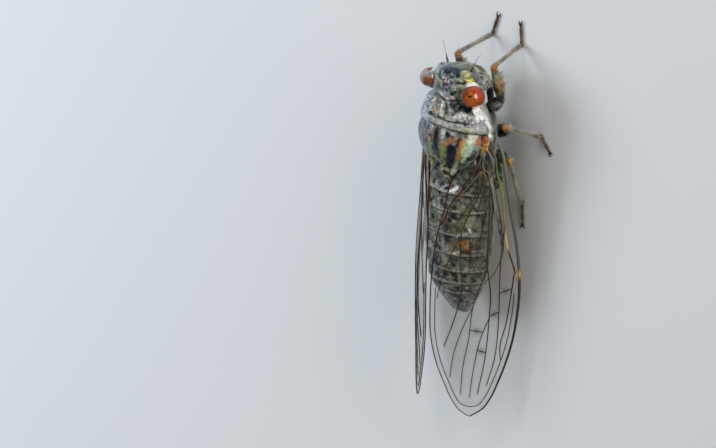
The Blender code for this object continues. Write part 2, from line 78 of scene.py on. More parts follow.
# Turns directions of the insect's frame into those of the model, which stands level on the floor.
ALONG = np.array([[1, 0, 0], [0, math.cos(PITCH), math.sin(PITCH)], [0, -math.sin(PITCH), math.cos(PITCH)]])
LATTICE = 24  # cells along each edge of the block of noise, which then repeats

# Each station is (y, half width, top, level of the widest point, bottom).
HEAD = (
    (-1.75, 3.00, 0.70, -0.80, -3.10),
    (-0.90, 3.22, 0.92, -0.80, -3.45),
    (0.10, 3.12, 0.98, -0.75, -3.60),
    (1.00, 2.88, 0.86, -0.72, -3.45),
    (1.58, 2.42, 0.56, -0.75, -3.10),
    (1.90, 1.88, 0.22, -0.85, -2.70),
    (2.14, 1.05, -0.20, -0.95, -2.10),
)
PRONOTUM = (
    (-1.25, 3.30, 0.92, -0.70, -3.30),
    (-1.60, 3.75, 1.20, -0.70, -3.55),
    (-2.15, 4.12, 1.48, -0.75, -3.85),
    (-2.80, 4.40, 1.72, -0.80, -4.15),
    (-3.06, 4.60, 1.86, -0.80, -4.30),
    (-3.45, 4.78, 2.02, -0.83, -4.40),
    (-3.80, 4.70, 1.90, -0.85, -4.35),
)
MESONOTUM = (
    (-3.40, 3.95, 1.55, -0.50, -1.60),
    (-4.10, 4.30, 1.90, -0.30, -1.50),
    (-4.70, 4.45, 2.10, -0.15, -1.40),
    (-5.70, 4.38, 2.17, 0.00, -1.20),
    (-6.60, 3.90, 2.10, 0.20, -1.00),
    (-7.40, 3.15, 1.92, 0.40, -0.80),
    (-8.30, 2.25, 1.62, 0.60, -0.60),
    (-9.00, 1.55, 1.38, 0.66, -0.50),
    (-9.62, 0.85, 1.16, 0.66, -0.40),
)
THORAX = (
    (-3.40, 4.00, -0.60, -2.00, -4.90),
    (-5.00, 4.20, -0.30, -1.80, -5.05),
    (-7.00, 4.20, 0.60, -1.30, -5.02),
    (-9.00, 4.00, 0.95, -1.20, -4.92),
    (-10.20, 3.85, 1.00, -1.40, -4.70),
)
ABDOMEN = (
    (-9.60, 3.85, 0.80, -1.70, -4.10),
    (-10.60, 4.20, 1.35, -1.75, -4.20),
    (-13.00, 4.36, 1.70, -1.85, -4.36),
    (-15.40, 4.36, 1.80, -1.90, -4.30),
    (-17.70, 4.18, 1.68, -1.85, -4.10),
    (-19.80, 3.85, 1.48, -1.75, -3.95),
    (-21.30, 3.45, 1.30, -1.65, -3.75),
    (-22.70, 2.60, 0.62, -1.65, -3.40),
    (-24.00, 1.70, -0.20, -1.80, -3.00),
    (-24.98, 0.95, -0.95, -1.90, -2.60),
)
TERGITE_ENDS = (-11.15, -13.10, -15.65, -17.85, -19.75, -21.15, -22.40, -25.00)
TUCK = 0.18  # how much narrower the belly is than an ellipse
COLLAR_TUCK = 0.45  # the same for the pronotum, whose sides slope in
COLLAR_BOW = -0.25  # how far the collar's sides lie behind its middle

# The head
EYE_RADII = (1.18, 1.07, 1.22)
EYE_INSET = 0.06  # how much nearer the middle an eye lies than its CAD node
EYE_LEVEL = -0.02  # how far an eye's middle lies above the frame's origin
HEAD_TURN = 0.17  # the right eye lies this much behind its place and the left one before it
FACE_CENTRE = (0.0, 0.52, -2.42)
FACE_RADII = (1.82, 1.44, 1.80)
FACE_LEAN = -0.2
FACE_RIDGE_PITCH = 0.34
FACE_RIDGE_DEPTH = 0.045
# Parts of the face and cheeks: (centre, radii, lean).
MUZZLE = ((0.0, 0.62, -3.72), (0.78, 0.80, 0.95), -0.5)
CHEEK = ((1.60, 0.45, -2.40), (0.95, 1.05, 1.45), -0.3)
LEDGE = ((1.70, 1.52, -0.34), (0.80, 0.62, 0.34), -0.6)
# The sockets that hold the eyes.
ORBIT_X = 2.76
ORBIT_Z = -0.16
ORBIT_RADII = (0.46, 1.08, 1.12)
# The three ocelli, as their middles.
OCELLI = ((0.24, 1.18, 0.76), (0.72, 0.74, 0.87), (-0.06, 0.60, 0.92))
OCELLUS_RADII = (0.13, 0.13, 0.10)
# The right antenna, from its root to its tip.
ANTENNA = (
    (1.75, 1.70, -1.05), (1.85, 2.02, -1.12), (1.95, 2.30, -1.14), (2.08, 2.62, -1.16), (2.24, 2.96, -1.20),
    (2.42, 3.30, -1.24), (2.60, 3.60, -1.28), (2.78, 3.88, -1.32), (2.94, 4.12, -1.36),
)
SCAPE_RADII = (0.13, 0.14, 0.10)
PEDICEL_RADII = (0.07, 0.09, 0.055)
BRISTLE_RADII = (0.034, 0.029, 0.025, 0.021, 0.016)
# The beak, from the muzzle back between the hips.
ROSTRUM = (
    (0, 0.10, -4.45), (0, -0.70, -5.15), (0, -2.20, -5.50), (0, -4.20, -5.72), (0, -5.60, -5.72),
)
ROSTRUM_RADII = (0.26, 0.42, 0.36, 0.28, 0.14)

# The thorax
# The right arm of the raised cross at the end of the shield.
SCUTELLUM_ARM = (
    (1.35, -7.55, 1.62), (0.62, -8.25, 1.74), (-0.05, -8.72, 1.72), (-0.60, -9.20, 1.42),
    (-1.00, -9.55, 1.05),
)
SCUTELLUM_RADII = (0.20, 0.30, 0.32, 0.28, 0.18)
# Furrows of pronotum and mesonotum: (line as (distance from the middle, y), width, depth).
PRONOTUM_FURROWS = (
    (((0.45, -1.5), (0.62, -2.2), (1.05, -2.85)), 0.10, 0.10),
    (((0.95, -1.45), (1.75, -2.1), (2.3, -2.95)), 0.12, 0.16),
    (((2.1, -1.3), (2.9, -2.05), (3.5, -2.9)), 0.12, 0.16),
    (((0.0, -3.05), (2.0, -3.05), (3.4, -3.02), (4.7, -2.9)), 0.11, 0.14),
    (((1.9, -1.2), (3.3, -1.5)), 0.16, 0.08),
)
MESONOTUM_FURROWS = (
    (((0.35, -4.0), (0.62, -5.4), (0.35, -6.3)), 0.10, 0.05),
    (((1.55, -4.0), (1.30, -5.6), (1.05, -7.6)), 0.14, 0.06),
    (((3.1, -4.6), (3.25, -5.6), (2.75, -6.8), (1.9, -8.0)), 0.10, 0.07),
    (((0.55, -7.6), (1.35, -8.2), (1.0, -9.0)), 0.22, 0.16),
)
# Furrows of the thorax's sides: lines as (y, z), which share a width and a depth.
THORAX_FURROWS = (
    ((-4.3, -0.6), (-4.6, -2.4), (-4.2, -4.4)),
    ((-6.2, -0.8), (-6.0, -2.6), (-6.6, -4.6)),
    ((-7.9, -0.4), (-7.6, -2.5), (-8.2, -4.6)),
    ((-4.6, -2.6), (-6.0, -2.4), (-7.6, -2.7), (-9.6, -2.5)),
)
THORAX_FURROW = (0.14, 0.16)
# Small plates of each wing's base on the right side: (centre, radii).
HINGES = (
    ((4.15, -4.95, -0.85), (0.60, 0.80, 0.46)),
    ((4.55, -5.45, -0.50), (0.50, 0.62, 0.22)),
    ((4.50, -5.95, -0.20), (0.34, 0.70, 0.20)),
    ((3.90, -6.75, -1.65), (0.58, 0.80, 0.50)),
    ((3.30, -7.60, -0.20), (0.45, 0.80, 0.42)),
    ((3.70, -9.20, -0.55), (0.66, 2.00, 0.45)),
    ((2.55, -8.80, 0.40), (0.60, 0.75, 0.30)),
)
# Plates under the belly and beside the first ring, on the right side: (centre, radii).
OPERCULUM = ((1.65, -10.30, -4.62), (1.35, 1.65, 0.26))
DRUM_COVER = ((3.05, -10.75, -1.00), (0.75, 1.05, 1.35))

# Legs, right side: hip, trochanter and knee in the insect's frame, ankle and toe as (x, y) on the floor, and
# the radii of femur and tibia.
LEGS = {
    "fore": {
        "hip": (1.45, -2.80, -4.35), "trochanter": (2.60, -1.85, -4.65), "knee": (2.75, 2.05, -3.35),
        "ankle": (2.25, 3.30), "toe": (1.75, 5.30), "femur": 0.62, "tibia": 0.20, "knee_gap": 0.14,
    },
    "middle": {
        "hip": (1.75, -5.60, -5.05), "trochanter": (3.10, -5.05, -5.10), "knee": (4.65, -3.98, -3.35),
        "ankle": (6.50, -5.20), "toe": (7.90, -6.50), "femur": 0.42, "tibia": 0.165, "knee_gap": 0.22,
    },
    "hind": {
        "hip": (1.85, -8.20, -4.95), "trochanter": (3.10, -8.35, -4.95), "knee": (5.05, -7.60, -3.60),
        "ankle": (4.85, -12.80), "toe": (5.20, -15.00), "femur": 0.42, "tibia": 0.17, "knee_gap": 0.22,
    },
}
ANKLE_HEIGHT = 0.52  # over the floor, like the next two
TARSUS_HEIGHT = 0.20
TOE_HEIGHT = 0.8 * TARSUS_HEIGHT
COXA_RADII = (0.5, 0.66, 0.72, 0.56, 0.34)
KNEE_RADII = (0.26, 0.34, 0.24)
ANKLE_RADII = (0.18, 0.17, 0.17)
SPINE_RADII = (0.30, 0.19, 0.03)
SPUR_RADII = (0.09, 0.06, 0.015)
CLAW_RADII = (0.085, 0.07, 0.012)
# Joints of the foot: (start and end as shares of its length, radius).
TARSUS_JOINTS = ((-0.06, 0.10, 0.20), (0.10, 0.26, 0.17), (0.26, 0.95, 0.15))
# Spines under the fore femur: (share of its length, length of the spine).
FEMUR_SPINES = ((0.36, 0.62), (0.60, 0.36), (0.74, 0.26))
# Spurs of the tibiae: (share of its length, turn about it).
TIBIA_SPURS = {
    "fore": ((0.78, 0.4), (0.86, 2.4)),
    "middle": ((0.5, 0.6), (0.72, 2.4), (0.92, 0.6), (0.94, 2.6)),
    "hind": ((0.3, 0.3), (0.48, 2.6), (0.66, 0.3), (0.80, 2.6), (0.93, 0.3), (0.95, 2.6)),
}

# The coat of hairs: how many on the body and on a leg, how thick, and the seeds of their random draws.
BODY_TUFTS = 16000
LEG_TUFTS = 2200
BODY_HAIR = 0.011
LEG_HAIR = 0.010
BODY_SEED = 7
LEG_SEED = 17

# The wings lie on a roof whose slope grows outwards. u runs back from the root, q outwards from the ridge.
ROOF_SLOPE = 20.0  # degrees at the ridge
ROOF_CURL = 3.5  # degrees of slope gained for each millimetre
ROOT_Y = -5.60  # the y at which u is 0
# The ridge of the roof, as (u, z).
RIDGE = (
    (0.0, 1.50), (3.0, 2.00), (4.9, 2.20), (9.2, 2.60), (11.4, 2.80), (14.4, 2.98), (20.9, 3.00),
    (25.4, 2.85), (29.7, 2.70),
)
# Front and hind edges of the wings, as (u, q).
FORE_COSTA = (
    (-0.60, 6.30), (0.50, 6.80), (1.60, 7.16), (2.60, 7.45), (3.50, 7.64), (4.50, 7.84), (6.00, 8.18),
    (8.10, 8.68), (10.20, 9.20), (11.60, 9.46), (13.60, 9.72), (15.40, 9.82), (18.80, 9.56),
    (21.30, 9.10), (23.50, 8.45), (25.70, 7.62), (27.70, 6.72), (28.90, 5.85), (29.80, 4.55),
)
FORE_HIND = (
    (-0.60, 5.30), (0.20, 4.10), (0.75, 3.76), (1.30, 3.42), (2.00, 2.98), (2.70, 2.56), (3.20, 2.22),
    (3.75, 1.94), (4.65, 1.66), (6.20, 1.46), (8.10, 1.14), (9.00, 0.94), (11.70, 0.60), (14.60, 0.42),
    (17.60, 0.36), (20.90, 0.40), (23.10, 0.76), (24.90, 1.30), (26.40, 1.92), (28.40, 2.90),
    (29.30, 3.66), (29.80, 4.55),
)
HIND_COSTA = (
    (1.60, 5.60), (3.90, 6.35), (5.60, 6.75), (7.40, 7.25), (8.90, 7.60), (10.50, 7.90), (11.70, 7.90),
    (12.90, 7.50), (14.20, 6.80), (14.80, 6.10),
)
HIND_HIND = (
    (1.60, 5.00), (3.00, 4.60), (4.60, 4.35), (7.40, 4.20), (10.40, 4.20), (12.60, 4.60), (14.00, 5.30),
    (14.80, 6.10),
)
HIND_DROP = 0.62  # how far the hindwing lies under the roof
VEIN_SCALE = 0.78  # radius of a vein for each millimetre of its listed thickness
SHEET = 0.04  # thickness of the clear membrane
# Veins of the forewing: (kind, thickness at its root, thickness at its end, points as (u, q)).
FORE_VEINS = (
    ("radius", 0.145, 0.10, (
        (0.2, 5.75), (1.3, 6.25), (2.5, 6.50), (3.7, 6.95), (5.0, 7.34), (6.0, 7.55), (8.3, 7.80),
        (9.4, 8.02), (10.8, 8.36), (12.4, 8.95), (13.6, 9.35))),
    ("branch", 0.09, 0.06, ((13.5, 9.20), (16.0, 8.95), (19.0, 8.52), (22.0, 7.85), (23.4, 7.95))),
    ("branch", 0.08, 0.06, (
        (8.6, 7.86), (12.0, 7.72), (15.0, 7.75), (19.0, 7.70), (23.0, 7.30), (26.2, 6.40),
    )),
    ("stem", 0.10, 0.06, (
        (2.6, 5.70), (4.6, 6.00), (8.0, 6.20), (13.0, 6.42), (16.0, 6.85), (18.5, 6.75), (23.0, 6.30),
        (27.2, 5.45))),
    ("branch", 0.07, 0.05, ((18.5, 6.75), (20.4, 6.00), (24.5, 5.05), (27.7, 4.60))),
    ("branch", 0.07, 0.05, (
        (13.0, 6.42), (16.0, 5.45), (17.2, 5.10), (21.0, 4.60), (24.6, 3.90), (27.4, 3.66),
    )),
    ("branch", 0.06, 0.05, ((17.2, 5.10), (20.0, 3.90), (23.2, 2.90), (25.6, 2.52))),
    ("stem", 0.10, 0.07, (
        (2.5, 5.10), (3.5, 5.42), (4.3, 5.20), (5.0, 4.92), (5.8, 4.62), (7.2, 4.10), (8.3, 3.70),
        (9.6, 3.40), (12.5, 3.55), (15.4, 3.80), (19.0, 3.05), (22.2, 1.90))),
    ("branch", 0.07, 0.05, ((9.6, 3.40), (11.6, 2.60), (14.5, 1.62), (17.0, 1.10))),
    ("stem", 0.09, 0.06, (
        (2.5, 5.00), (3.2, 4.80), (4.2, 4.80), (4.9, 4.62), (5.7, 4.36), (6.8, 3.74), (8.3, 2.95),
    )),
    ("claval", 0.09, 0.06, (
        (0.4, 5.00), (1.2, 4.71), (1.95, 4.46), (2.7, 4.13), (3.45, 3.78), (4.1, 3.42), (4.8, 3.05),
        (5.5, 2.60), (6.1, 2.22), (6.85, 1.85), (7.7, 1.54), (8.9, 1.10))),
    ("suture", 0.07, 0.05, (
        (2.6, 4.86), (3.2, 4.52), (4.0, 3.96), (4.6, 3.52), (5.2, 3.10), (5.9, 2.64), (6.5, 2.28),
        (7.2, 1.96), (7.9, 1.62), (8.9, 1.20))),
    ("cell", 0.09, 0.07, ((0.2, 5.05), (0.9, 5.00), (1.6, 4.95), (2.2, 5.02), (2.5, 5.30), (2.6, 5.75))),
    ("cell", 0.09, 0.07, ((0.2, 5.15), (0.8, 5.55), (1.5, 5.95), (2.2, 6.10), (2.6, 5.80))),
    ("cross", 0.06, 0.05, ((15.2, 8.98), (15.7, 7.78))),
    ("cross", 0.06, 0.05, ((17.8, 7.72), (18.3, 6.80))),
    ("cross", 0.06, 0.05, ((20.1, 6.12), (20.0, 4.74))),
    ("cross", 0.06, 0.05, ((16.0, 5.45), (15.4, 3.82))),
    ("cross", 0.06, 0.05, ((22.4, 6.36), (22.2, 5.50))),
)
HIND_VEINS = (
    ("blade", 0.10, 0.07, (
        (1.8, 5.20), (2.5, 5.35), (4.0, 5.85), (5.6, 6.28), (7.2, 6.62), (8.9, 6.98), (10.5, 7.40),
        (11.6, 7.76))),
    ("stem", 0.07, 0.05, ((4.4, 5.90), (6.0, 6.00), (7.2, 5.75), (9.0, 5.50), (11.0, 5.30), (12.8, 5.05))),
    ("stem", 0.06, 0.05, ((5.0, 6.10), (7.0, 6.45), (9.0, 6.42), (12.0, 6.30), (14.0, 6.10))),
    ("branch", 0.05, 0.05, ((3.0, 5.30), (5.0, 5.20), (8.0, 4.75), (10.6, 4.50))),
)
RIM_INSET = 0.55  # from the outer edge to the vein that runs along inside it
RIM_FROM = 14.6  # the u at which that vein starts
RIM_TURN = 0.9  # how far before the wing's tip that vein stops
# Colours of the veins as (u, colour) stops.
VEIN_COLOURS = {
    "radius": (
        (1.0, (0.14, 0.12, 0.07)), (2.3, (0.09, 0.12, 0.05)), (2.6, (0.12, 0.20, 0.07)),
        (3.6, (0.14, 0.18, 0.055)), (4.2, (0.22, 0.20, 0.05)), (7.6, (0.24, 0.19, 0.06)),
        (8.6, (0.13, 0.09, 0.05)), (9.4, (0.55, 0.36, 0.12)), (10.7, (0.64, 0.46, 0.25)),
        (11.0, (0.12, 0.04, 0.02)), (13.4, (0.05, 0.04, 0.03)), (13.6, (0.4, 0.20, 0.03)),
    ),
    "costa": (
        (-0.6, (0.16, 0.17, 0.11)), (3.0, (0.13, 0.13, 0.10)), (5.0, (0.12, 0.12, 0.11)),
        (12.9, (0.10, 0.10, 0.10)), (13.2, (0.28, 0.12, 0.03)), (13.6, (0.55, 0.36, 0.09)),
        (14.0, (0.22, 0.10, 0.03)), (14.4, (0.06, 0.05, 0.04)), (29.8, (0.06, 0.05, 0.045)),
    ),
    "margin": (
        (0.0, (0.16, 0.07, 0.04)), (1.0, (0.05, 0.014, 0.012)), (8.0, (0.06, 0.020, 0.016)),
        (9.5, (0.05, 0.04, 0.035)),
    ),
    "claval": (
        (0.4, (0.28, 0.26, 0.24)), (1.6, (0.20, 0.15, 0.13)), (3.0, (0.07, 0.03, 0.025)),
        (9.0, (0.07, 0.02, 0.018)),
    ),
    "suture": (
        (2.6, (0.30, 0.20, 0.08)), (3.4, (0.20, 0.15, 0.12)), (6.0, (0.14, 0.09, 0.08)),
        (9.0, (0.08, 0.04, 0.03)),
    ),
    "stem": (
        (2.5, (0.24, 0.17, 0.08)), (3.4, (0.12, 0.09, 0.05)), (4.5, (0.07, 0.06, 0.04)),
        (14.0, (0.05, 0.04, 0.03)),
    ),
    "branch": ((8.0, (0.06, 0.05, 0.04)), (20.0, (0.05, 0.038, 0.03))),
    "cross": ((15.0, (0.045, 0.03, 0.025)),),
    "cell": (
        (0.2, (0.30, 0.29, 0.27)), (1.6, (0.20, 0.19, 0.17)), (2.2, (0.20, 0.17, 0.12)),
        (2.6, (0.22, 0.16, 0.08)),
    ),
    "blade": (
        (1.8, (0.03, 0.03, 0.03)), (6.5, (0.04, 0.04, 0.045)), (8.5, (0.22, 0.24, 0.26)),
        (11.6, (0.26, 0.28, 0.30)),
    ),
}
CLEAR_TONE = (0.26, 0.235, 0.20)  # a wing's membrane, and its smoke at the cross-veins
SMOKY_TONE = (0.060, 0.040, 0.028)
FORE_STRENGTH = 0.055  # how dense the clear parts of the wings are
HIND_STRENGTH = 0.05
# Painted sheen: a silvery reflection painted into the colour and strength of the left wings' outer part.
LEFT_PAINTED_SHEEN = 0.22  # how silvery the outer part of the left wings is

# Colours of skin and wings, as linear red, green and blue.
INKS = {
    "black": (0.008, 0.009, 0.012), "coal": (0.022, 0.024, 0.026), "slate": (0.030, 0.042, 0.062),
    "umber": (0.070, 0.042, 0.026), "brown": (0.150, 0.085, 0.048), "plum": (0.080, 0.040, 0.060),
    "ash": (0.105, 0.110, 0.095), "stone": (0.235, 0.240, 0.210), "silver": (0.380, 0.410, 0.440),
    "moss": (0.085, 0.100, 0.035), "olive": (0.170, 0.180, 0.050), "leaf": (0.320, 0.360, 0.200),
    "lime": (0.430, 0.510, 0.320), "straw": (0.480, 0.440, 0.230), "yellow": (0.640, 0.560, 0.090),
    "amber": (0.520, 0.230, 0.050), "orange": (0.430, 0.170, 0.050), "rust": (0.400, 0.060, 0.015),
    "rose": (0.440, 0.270, 0.220), "pink": (0.620, 0.480, 0.410), "cream": (0.700, 0.680, 0.560),
    "white": (0.880, 0.880, 0.830), "ice": (0.430, 0.540, 0.520), "lilac": (0.330, 0.300, 0.340),
    "steel": (0.120, 0.155, 0.195), "sky": (0.400, 0.460, 0.510), "mint": (0.330, 0.430, 0.250),
    "frost": (0.200, 0.250, 0.340), "putty": (0.330, 0.325, 0.265),
}
# Where the painted regions of the skin meet: head, collar and abdomen have no share at the first y and the
# whole at the second.
NECK = (-1.32, -1.20)
COLLAR_END = (-4.10, -3.84)
WAIST = (-9.5, -9.9)
SHIELD_END = -9.75  # the shield lies before this y
# Marks on the back: (ink, half width, softness, strength, gloss, points as (distance from the middle, y)).
HEAD_MARKS = (
    ("slate", 0.34, 0.24, 0.90, 0.6, ((0.0, 1.92), (0.85, 1.92))),
    ("black", 0.10, 0.12, 0.80, 0.5, ((0.20, 1.70), (0.95, 1.60))),
    ("black", 0.05, 0.05, 0.90, 0.5, ((1.30, 1.90), (1.42, 1.78))),
    ("black", 0.05, 0.05, 0.90, 0.5, ((1.62, 1.66),)),
    ("coal", 0.16, 0.10, 0.95, 0.7, ((1.15, 1.02), (1.90, 1.12))),
    ("leaf", 0.15, 0.14, 0.85, 0.3, ((0.80, 0.55), (1.50, 0.72), (2.05, 0.80))),
    ("plum", 0.30, 0.16, 0.70, 0.5, ((0.0, 1.18), (0.0, 0.90))),
    ("plum", 0.24, 0.16, 0.70, 0.5, ((0.45, 0.75),)),
    ("lilac", 0.18, 0.08, 0.70, 0.4, ((0.0, 1.20),)),
    ("lilac", 0.18, 0.08, 0.60, 0.4, ((0.42, 0.72),)),
    ("white", 0.035, 0.04, 0.80, 0.4, ((0.20, 1.35), (0.28, 0.98), (0.10, 0.80))),
    ("moss", 0.34, 0.24, 0.75, 0.4, ((1.45, 0.20), (1.60, -0.55))),
    ("coal", 0.10, 0.12, 0.80, 0.4, ((0.15, 0.20), (0.75, -0.10))),
    ("stone", 0.16, 0.14, 0.80, 0.2, ((0.10, -0.15), (0.85, 0.25))),
    ("stone", 0.22, 0.16, 0.80, 0.2, ((2.20, 0.10), (2.10, -0.75))),
    ("pink", 0.22, 0.10, 0.85, 0.3, ((0.0, -0.96), (0.85, -0.70))),
    ("plum", 0.05, 0.06, 0.85, 0.5, ((0.0, -0.74), (0.60, -0.86))),
    ("plum", 0.04, 0.05, 0.80, 0.5, ((0.1, -1.05), (0.70, -0.95))),
    ("black", 0.09, 0.07, 0.92, 0.6, ((0.10, -1.28), (1.00, -0.98), (1.60, -0.80))),
)
# Marks of the head's right side only: partly its colours, partly painted light, as straw and yellow where
# light falls.
RIGHT_HEAD_LIT_MARKS = (
    ("moss", 0.42, 0.24, 0.95, 0.4, ((1.75, 2.15), (2.20, 1.85), (2.45, 1.50))),
    ("straw", 0.26, 0.16, 0.85, 0.3, ((1.20, 2.02), (1.70, 1.78), (1.80, 1.58))),
    ("leaf", 0.09, 0.10, 0.85, 0.3, ((0.90, 1.32), (1.40, 1.42), (1.75, 1.52))),
    ("black", 0.05, 0.05, 0.90, 0.5, ((1.30, 1.90), (1.42, 1.78))),
    ("yellow", 0.13, 0.08, 0.95, 0.5, ((2.05, 1.45), (2.24, 1.28))),
)
PRONOTUM_MARKS = (
    ("putty", 0.26, 0.18, 0.85, 0.2, ((0.75, -1.50), (1.10, -2.60))),
    ("cream", 0.14, 0.10, 0.75, 0.2, ((0.62, -1.55), (0.85, -2.20))),
    ("leaf", 0.06, 0.06, 0.75, 0.3, ((0.25, -1.80), (1.00, -2.35), (2.00, -2.90))),
    ("coal", 0.16, 0.14, 0.85, 0.4, ((1.25, -1.50), (1.65, -2.30))),
    ("coal", 0.30, 0.18, 0.92, 0.4, ((1.90, -1.42), (2.60, -1.75))),
    ("umber", 0.13, 0.10, 0.85, 0.4, ((2.55, -1.95), (2.75, -2.00))),
    ("black", 0.22, 0.12, 0.95, 0.6, ((2.95, -1.50), (3.75, -1.65))),
    ("cream", 0.24, 0.20, 0.60, 0.2, ((2.75, -2.38), (3.50, -2.30), (4.00, -2.30))),
    ("stone", 0.20, 0.16, 0.80, 0.2, ((2.00, -2.55), (2.60, -2.80))),
    ("coal", 0.08, 0.08, 0.85, 0.4, ((2.00, -2.98), (3.10, -3.00), (3.95, -2.80))),
    ("lilac", 0.26, 0.16, 0.80, 0.2, ((4.20, -2.70), (4.70, -2.80))),
    ("brown", 0.10, 0.10, 0.80, 0.4, ((0.0, -1.30), (0.0, -2.05))),
    ("plum", 0.16, 0.12, 0.70, 0.4, ((0.42, -1.45), (0.60, -2.05))),
    ("amber", 0.15, 0.10, 0.80, 0.4, ((0.10, -2.44),)),
    ("black", 0.14, 0.10, 0.85, 0.5, ((0.55, -2.76), (1.00, -2.94))),
    ("coal", 0.06, 0.05, 0.90, 0.4, ((0.0, -3.02), (2.0, -3.02), (3.5, -2.98), (5.2, -2.86))),
    ("putty", 0.24, 0.10, 0.85, 0.2, ((0.0, -3.40), (2.0, -3.42), (5.2, -3.60))),
    ("lilac", 0.30, 0.20, 0.60, 0.2, ((4.60, -3.10), (5.00, -3.50))),
    ("straw", 0.14, 0.16, 0.45, 0.2, ((3.80, -3.42), (4.80, -3.50))),
    ("umber", 0.08, 0.06, 0.85, 0.4, ((0.0, -3.72), (2.4, -3.78), (5.2, -4.00))),
    ("white", 0.20, 0.12, 0.95, 0.5, ((4.10, -1.25), (4.60, -1.75), (4.90, -2.40))),
    ("straw", 0.12, 0.10, 0.85, 0.4, ((4.82, -2.02),)),
)
MESONOTUM_MARKS = (
    ("brown", 0.14, 0.14, 0.85, 0.3, ((0.36, -4.10), (0.50, -5.20))),
    ("stone", 0.10, 0.10, 0.70, 0.3, ((0.55, -3.95), (0.66, -4.70))),
    ("amber", 0.16, 0.18, 0.55, 0.4, ((1.05, -5.35), (1.05, -5.95))),
    ("olive", 0.30, 0.18, 0.92, 0.4, ((1.10, -5.80), (0.88, -6.80), (0.78, -7.70), (1.00, -8.20))),
    ("moss", 0.14, 0.12, 0.60, 0.4, ((0.66, -6.20), (0.56, -7.60))),
    ("black", 0.24, 0.14, 0.95, 0.7, ((0.0, -4.00), (0.08, -5.10), (0.0, -6.10))),
    ("coal", 0.18, 0.14, 0.80, 0.6, ((0.20, -5.40), (0.24, -7.00))),
    ("black", 0.20, 0.12, 0.90, 0.6, ((1.30, -4.12), (1.62, -4.48))),
    ("cream", 0.045, 0.05, 0.85, 0.4, ((0.78, -4.05), (0.96, -4.90))),
    ("cream", 0.045, 0.05, 0.80, 0.4, ((1.02, -4.05), (1.20, -4.75))),
    ("silver", 0.13, 0.12, 0.70, 0.3, ((1.80, -4.10), (2.30, -4.25))),
    ("lilac", 0.10, 0.12, 0.70, 0.3, ((0.70, -4.02), (1.50, -4.02))),
    ("black", 0.50, 0.22, 0.95, 0.7, ((2.20, -5.75), (2.10, -6.60), (1.85, -7.25))),
    ("black", 0.30, 0.16, 0.95, 0.9, ((1.65, -7.30), (1.42, -8.05))),
    ("black", 0.20, 0.14, 0.85, 0.7, ((2.90, -4.60), (2.75, -5.35))),
    ("orange", 0.11, 0.20, 0.80, 0.5, ((2.58, -4.60), (2.20, -4.90))),
    ("orange", 0.17, 0.24, 0.80, 0.5, ((1.95, -4.82), (1.50, -5.35))),
    ("rose", 0.10, 0.16, 0.60, 0.4, ((2.62, -4.98), (2.30, -5.20))),
    ("orange", 0.16, 0.16, 0.92, 0.5, ((3.22, -4.65), (3.10, -5.50), (2.92, -6.20), (2.66, -6.85))),
    ("yellow", 0.06, 0.12, 0.70, 0.5, ((3.42, -4.80), (3.34, -5.60), (3.16, -6.30))),
    ("mint", 0.38, 0.14, 0.92, 0.7, ((3.88, -4.50), (3.80, -5.30), (3.52, -6.10))),
    ("mint", 0.15, 0.12, 0.90, 0.7, ((3.58, -6.05), (3.38, -6.60), (3.08, -7.10))),
    ("ice", 0.10, 0.14, 0.70, 0.7, ((4.05, -4.60), (3.98, -5.50), (3.70, -6.20))),
    ("leaf", 0.10, 0.12, 0.70, 0.7, ((3.62, -4.60), (3.56, -5.40), (3.34, -6.10))),
    ("cream", 0.10, 0.12, 0.75, 0.7, ((3.85, -4.35), (3.80, -4.80))),
    ("pink", 0.16, 0.12, 0.90, 0.6, ((3.62, -4.10), (4.02, -4.16))),
    ("rust", 0.10, 0.08, 0.90, 0.5, ((4.26, -4.50), (4.34, -5.05))),
    ("leaf", 0.14, 0.14, 0.75, 0.4, ((2.60, -7.20), (2.20, -7.75), (1.75, -8.30))),
    ("cream", 0.26, 0.26, 0.55, 0.3, ((0.90, -8.50), (1.50, -8.85), (1.95, -8.45))),
    ("coal", 0.22, 0.16, 0.90, 0.6, ((0.0, -7.75), (0.0, -8.40))),
    ("straw", 0.16, 0.14, 0.80, 0.4, ((0.75, -9.35), (1.05, -9.60))),
    ("coal", 0.16, 0.12, 0.85, 0.5, ((0.40, -9.30), (0.90, -9.50))),
)
ABDOMEN_MARKS = (
    ("white", 0.17, 0.12, 0.95, 0.5, ((1.30, -10.85), (1.95, -10.40))),
    ("silver", 0.12, 0.14, 0.60, 0.4, ((0.30, -10.60), (1.00, -10.30))),
    ("straw", 0.22, 0.24, 0.50, 0.3, ((2.55, -12.30), (2.90, -12.55))),
    ("straw", 0.34, 0.34, 0.40, 0.3, ((2.80, -13.90), (3.50, -14.20))),
    ("black", 0.34, 0.30, 0.60, 0.4, ((1.00, -14.60), (1.90, -14.50))),
    ("ice", 0.20, 0.16, 0.90, 0.3, ((2.45, -15.42), (3.20, -15.22))),
    ("white", 0.13, 0.10, 0.95, 0.5, ((3.42, -14.75), (3.52, -14.95))),
    ("amber", 0.20, 0.30, 0.65, 0.4, ((3.10, -16.15), (3.10, -16.95))),
    ("amber", 0.14, 0.16, 0.40, 0.4, ((2.40, -16.35), (3.10, -16.10))),
    ("slate", 0.13, 0.20, 0.92, 0.6, ((3.70, -16.60), (3.80, -17.00))),
    ("pink", 0.10, 0.14, 0.80, 0.3, ((3.70, -17.20), (4.10, -17.10))),
    ("cream", 0.09, 0.08, 0.92, 0.4, ((2.05, -17.45), (2.50, -17.40))),
    ("orange", 0.03, 0.06, 0.75, 0.3, (
        (2.05, -16.60), (1.85, -17.60), (1.45, -18.80), (1.30, -19.60), (1.35, -21.00))),
    ("slate", 0.22, 0.20, 0.75, 0.5, ((1.60, -18.25), (2.30, -18.25))),
    ("pink", 0.10, 0.14, 0.70, 0.3, ((3.00, -19.35), (3.60, -19.30))),
)
